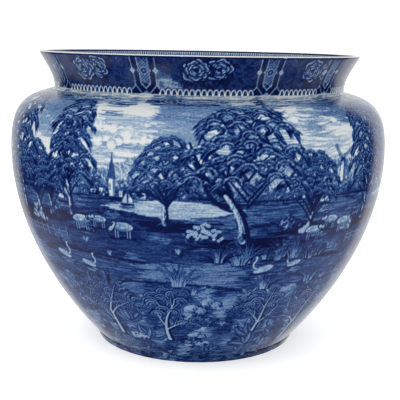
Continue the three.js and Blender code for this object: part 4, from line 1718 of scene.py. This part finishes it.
def sheet_map(mesh):
    """The printed face over most of the map, the back and the edges in strips below."""
    point, face, size, first = corners_of(mesh)
    turn, run = stored(mesh, "turn")[point], stored(mesh, "run")[point]
    behind = (np.minimum.reduceat(run, first) < 0)[face]
    u = SIDE + (1 - 2 * SIDE) * turn
    v = FACE_LOW + (FACE_HIGH - FACE_LOW) * run / WALL_LENGTH
    step = np.where(run < 0, -run, np.where(run > WALL_LENGTH / 2, 0, BACK_ROWS + 1))
    v = np.where(behind, BACK_LOW + (BACK_HIGH - BACK_LOW) * step / (BACK_ROWS + 1), v)
    along = np.where(run < 0, 1 + (run + 1) / (BACK_ROWS - 1), run / WALL_LENGTH)
    cap = size > 4
    u = np.where(cap, SIDE + 0.47 * along + 0.5 * (turn > 0.5), u)
    v = np.where(cap, np.where(run < 0, CAP_LOW, CAP_HIGH), v)
    lay_map(mesh, u, v)


def ring_map(mesh, total):
    """A closed ring as four strips, one above the other."""
    point, face, _, first = corners_of(mesh)
    turn, run = stored(mesh, "turn")[point], stored(mesh, "run")[point]
    turn = np.where((np.maximum.reduceat(turn, first)[face] - turn) > 0.5, turn + 1, turn)
    run = np.where((np.maximum.reduceat(run, first)[face] - run) > total / 2, run + total, run)
    quarter = np.floor(np.minimum.reduceat(turn, first) * QUARTERS + 1e-4)[face]
    u = SIDE + (1 - 2 * SIDE) * (turn * QUARTERS - quarter)
    lay_map(mesh, u, (quarter + SIDE + (1 - 2 * SIDE) * run / total) / QUARTERS)


for sheet in sheets:
    sheet_map(sheet.data)
for piece, line in ((collar, collar_line), (foot_ring, foot_line)):
    closing = float(np.hypot(*(line[0] - line[-1])))
    ring_map(piece.data, float(length_along(line)[-1]) + closing)


# %% [markdown]
# ## Stage
#
# A shop takes such a picture on white paper under soft boxes. The room is lit
# evenly for the clay. What the glaze mirrors is another matter: a white screen
# behind the pot and a white table under it, in a room that is dark otherwise.
# The table lies in shade on its near side. So little light sits on the print
# in the middle, and the flanks catch a pale sheen.

# %% Stage, camera and light
PAPER = (0.92, 0.92, 0.92, 1)
PAPER_GLOW = 0.5
FLOOR_HALF = 6
SENSOR = 36
FOCAL_SHARE = 836.0 / 400
LENS_SHIFT = 0.0073
CAMERA_PLACE = (0, -0.8198, 0.291)
CAMERA_TILT = 0.1905
CAMERA_ROLL = 0.0188

scene = bpy.context.scene
floor_mesh = bpy.data.meshes.new("studio_floor")
floor_corners = [(x * FLOOR_HALF, y * FLOOR_HALF, 0) for x, y in ((-1, -1), (1, -1), (1, 1), (-1, 1))]
floor_mesh.from_pydata(floor_corners, [], [(0, 1, 2, 3)])
studio_floor = bpy.data.objects.new("studio_floor", floor_mesh)
scene.collection.objects.link(studio_floor)
paper = plain("floor_paper", PAPER, 0.9)
glow = paper.node_tree.nodes["Principled BSDF"].inputs
glow["Emission Color"].default_value = (1, 1, 1, 1)
glow["Emission Strength"].default_value = PAPER_GLOW
floor_mesh.materials.append(paper)
studio_floor.visible_glossy = False

lens_data = bpy.data.cameras.new("catalogue_camera")
lens_data.sensor_width = SENSOR
lens_data.lens = FOCAL_SHARE * SENSOR
lens_data.shift_x = LENS_SHIFT
camera = bpy.data.objects.new("catalogue_camera", lens_data)
camera.matrix_world = (
    Matrix.Translation(CAMERA_PLACE)
    @ Matrix.Rotation(math.pi / 2 - CAMERA_TILT, 4, "X")
    @ Matrix.Rotation(CAMERA_ROLL, 4, "Z")
)
scene.collection.objects.link(camera)
scene.camera = camera

# %% The light of the room
ROOM = 1.06
BACKDROP = 1.2
MIRROR_DARK = 0.02
SCREEN = 0.83
SCREEN_LEAN = 0.2
SCREEN_SKEW = 0.06
SCREEN_SIDES = (0.61, 0.76)
SCREEN_TOP = (0.38, 0.56)
ABOVE_SCREEN = 0.15
TABLE = ((0.28, 0.0), (0.45, 0.42), (0.75, 0.36), (0.95, 0.02))
TABLE_SHADE = (-0.55, 0.15)
TABLE_NEAR, TABLE_FAR = 0.12, 1.15
BOX_WATTS = 9.0
BOX_SIZE = (1.6, 1.2)
BOX_PLACE = (-0.4, -0.7, 1.6)
BOX_TURNS = (0.42, -0.22)

world = bpy.data.worlds.new("studio_white")
scene.world = world
world.use_nodes = True
world.cycles.sampling_method = "NONE"
air = world.node_tree
towards = joined(air, "ShaderNodeTexCoord").outputs["Generated"]
sideways, behind, upwards = joined(air, "ShaderNodeSeparateXYZ", {0: towards}).outputs


def soft_step(value, ends, first, last):
    """From one strength softly to another, while a value goes from end to end."""
    links = {"Value": value, "From Min": ends[0], "From Max": ends[1], "To Min": first, "To Max": last}
    return joined(air, "ShaderNodeMapRange", links, interpolation_type="SMOOTHSTEP").outputs["Result"]


def for_rays(kind, others, these):
    """One strength for rays of a kind and another for all others."""
    return joined(air, "ShaderNodeMix", {0: rays[kind], 2: others, 3: these}, data_type="FLOAT").outputs[0]


screen = soft_step(sum_of(air, "MULTIPLY_ADD", sideways, SCREEN_SKEW, behind), SCREEN_SIDES, 0.0, 1.0)
screen = sum_of(air, "MULTIPLY", screen, soft_step(upwards, SCREEN_TOP, 1.0, ABOVE_SCREEN))
screen = sum_of(air, "MULTIPLY", screen, sum_of(air, "MULTIPLY_ADD", sideways, SCREEN_LEAN * SCREEN, SCREEN))
table = joined(air, "ShaderNodeValToRGB", {"Fac": sum_of(air, "MULTIPLY", upwards, -1.0)})
stops = table.color_ramp.elements
for stop, (at, level) in zip((stops[0], *(stops.new(at) for at, _ in TABLE[1:-1]), stops[-1]), TABLE):
    stop.position = at
    stop.color = (level, level, level, 1.0)
shaded = soft_step(behind, TABLE_SHADE, TABLE_NEAR, TABLE_FAR)
table_light = sum_of(air, "MULTIPLY", table.outputs["Color"], shaded)
mirrored = sum_of(air, "ADD", sum_of(air, "MAXIMUM", screen, table_light), MIRROR_DARK)
rays = joined(air, "ShaderNodeLightPath").outputs
strength = for_rays("Is Camera Ray", for_rays("Is Glossy Ray", ROOM, mirrored), BACKDROP)
air.links.new(strength, air.nodes["Background"].inputs["Strength"])
air.nodes["Background"].inputs["Color"].default_value = (1, 1, 1, 1)

box_data = bpy.data.lights.new("overhead_box", "AREA")
box_data.shape = "RECTANGLE"
box_data.size, box_data.size_y = BOX_SIZE
box_data.energy = BOX_WATTS
overhead_box = bpy.data.objects.new("overhead_box", box_data)
overhead_box.matrix_world = (
    Matrix.Translation(BOX_PLACE)
    @ Matrix.Rotation(BOX_TURNS[0], 4, "X")
    @ Matrix.Rotation(BOX_TURNS[1], 4, "Y")
)
overhead_box.visible_glossy = False
overhead_box.visible_camera = False
scene.collection.objects.link(overhead_box)

scene.view_settings.view_transform = "Standard"

# %% What rides and what each piece stands for
for piece, node, slot in (
    (bowl_clay, "bowl", "printed_glaze"), *((sheet, "bowl", "printed_glaze") for sheet in sheets),
    (collar, "collar", "border_glaze"), (foot_ring, "foot_ring", "foot_glaze"),
    (foot_slip, "foot_slip", "cream_glaze"), (neck_slip, "neck_slip", "cream_glaze"),
):
    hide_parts(node)
    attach(piece, "root")
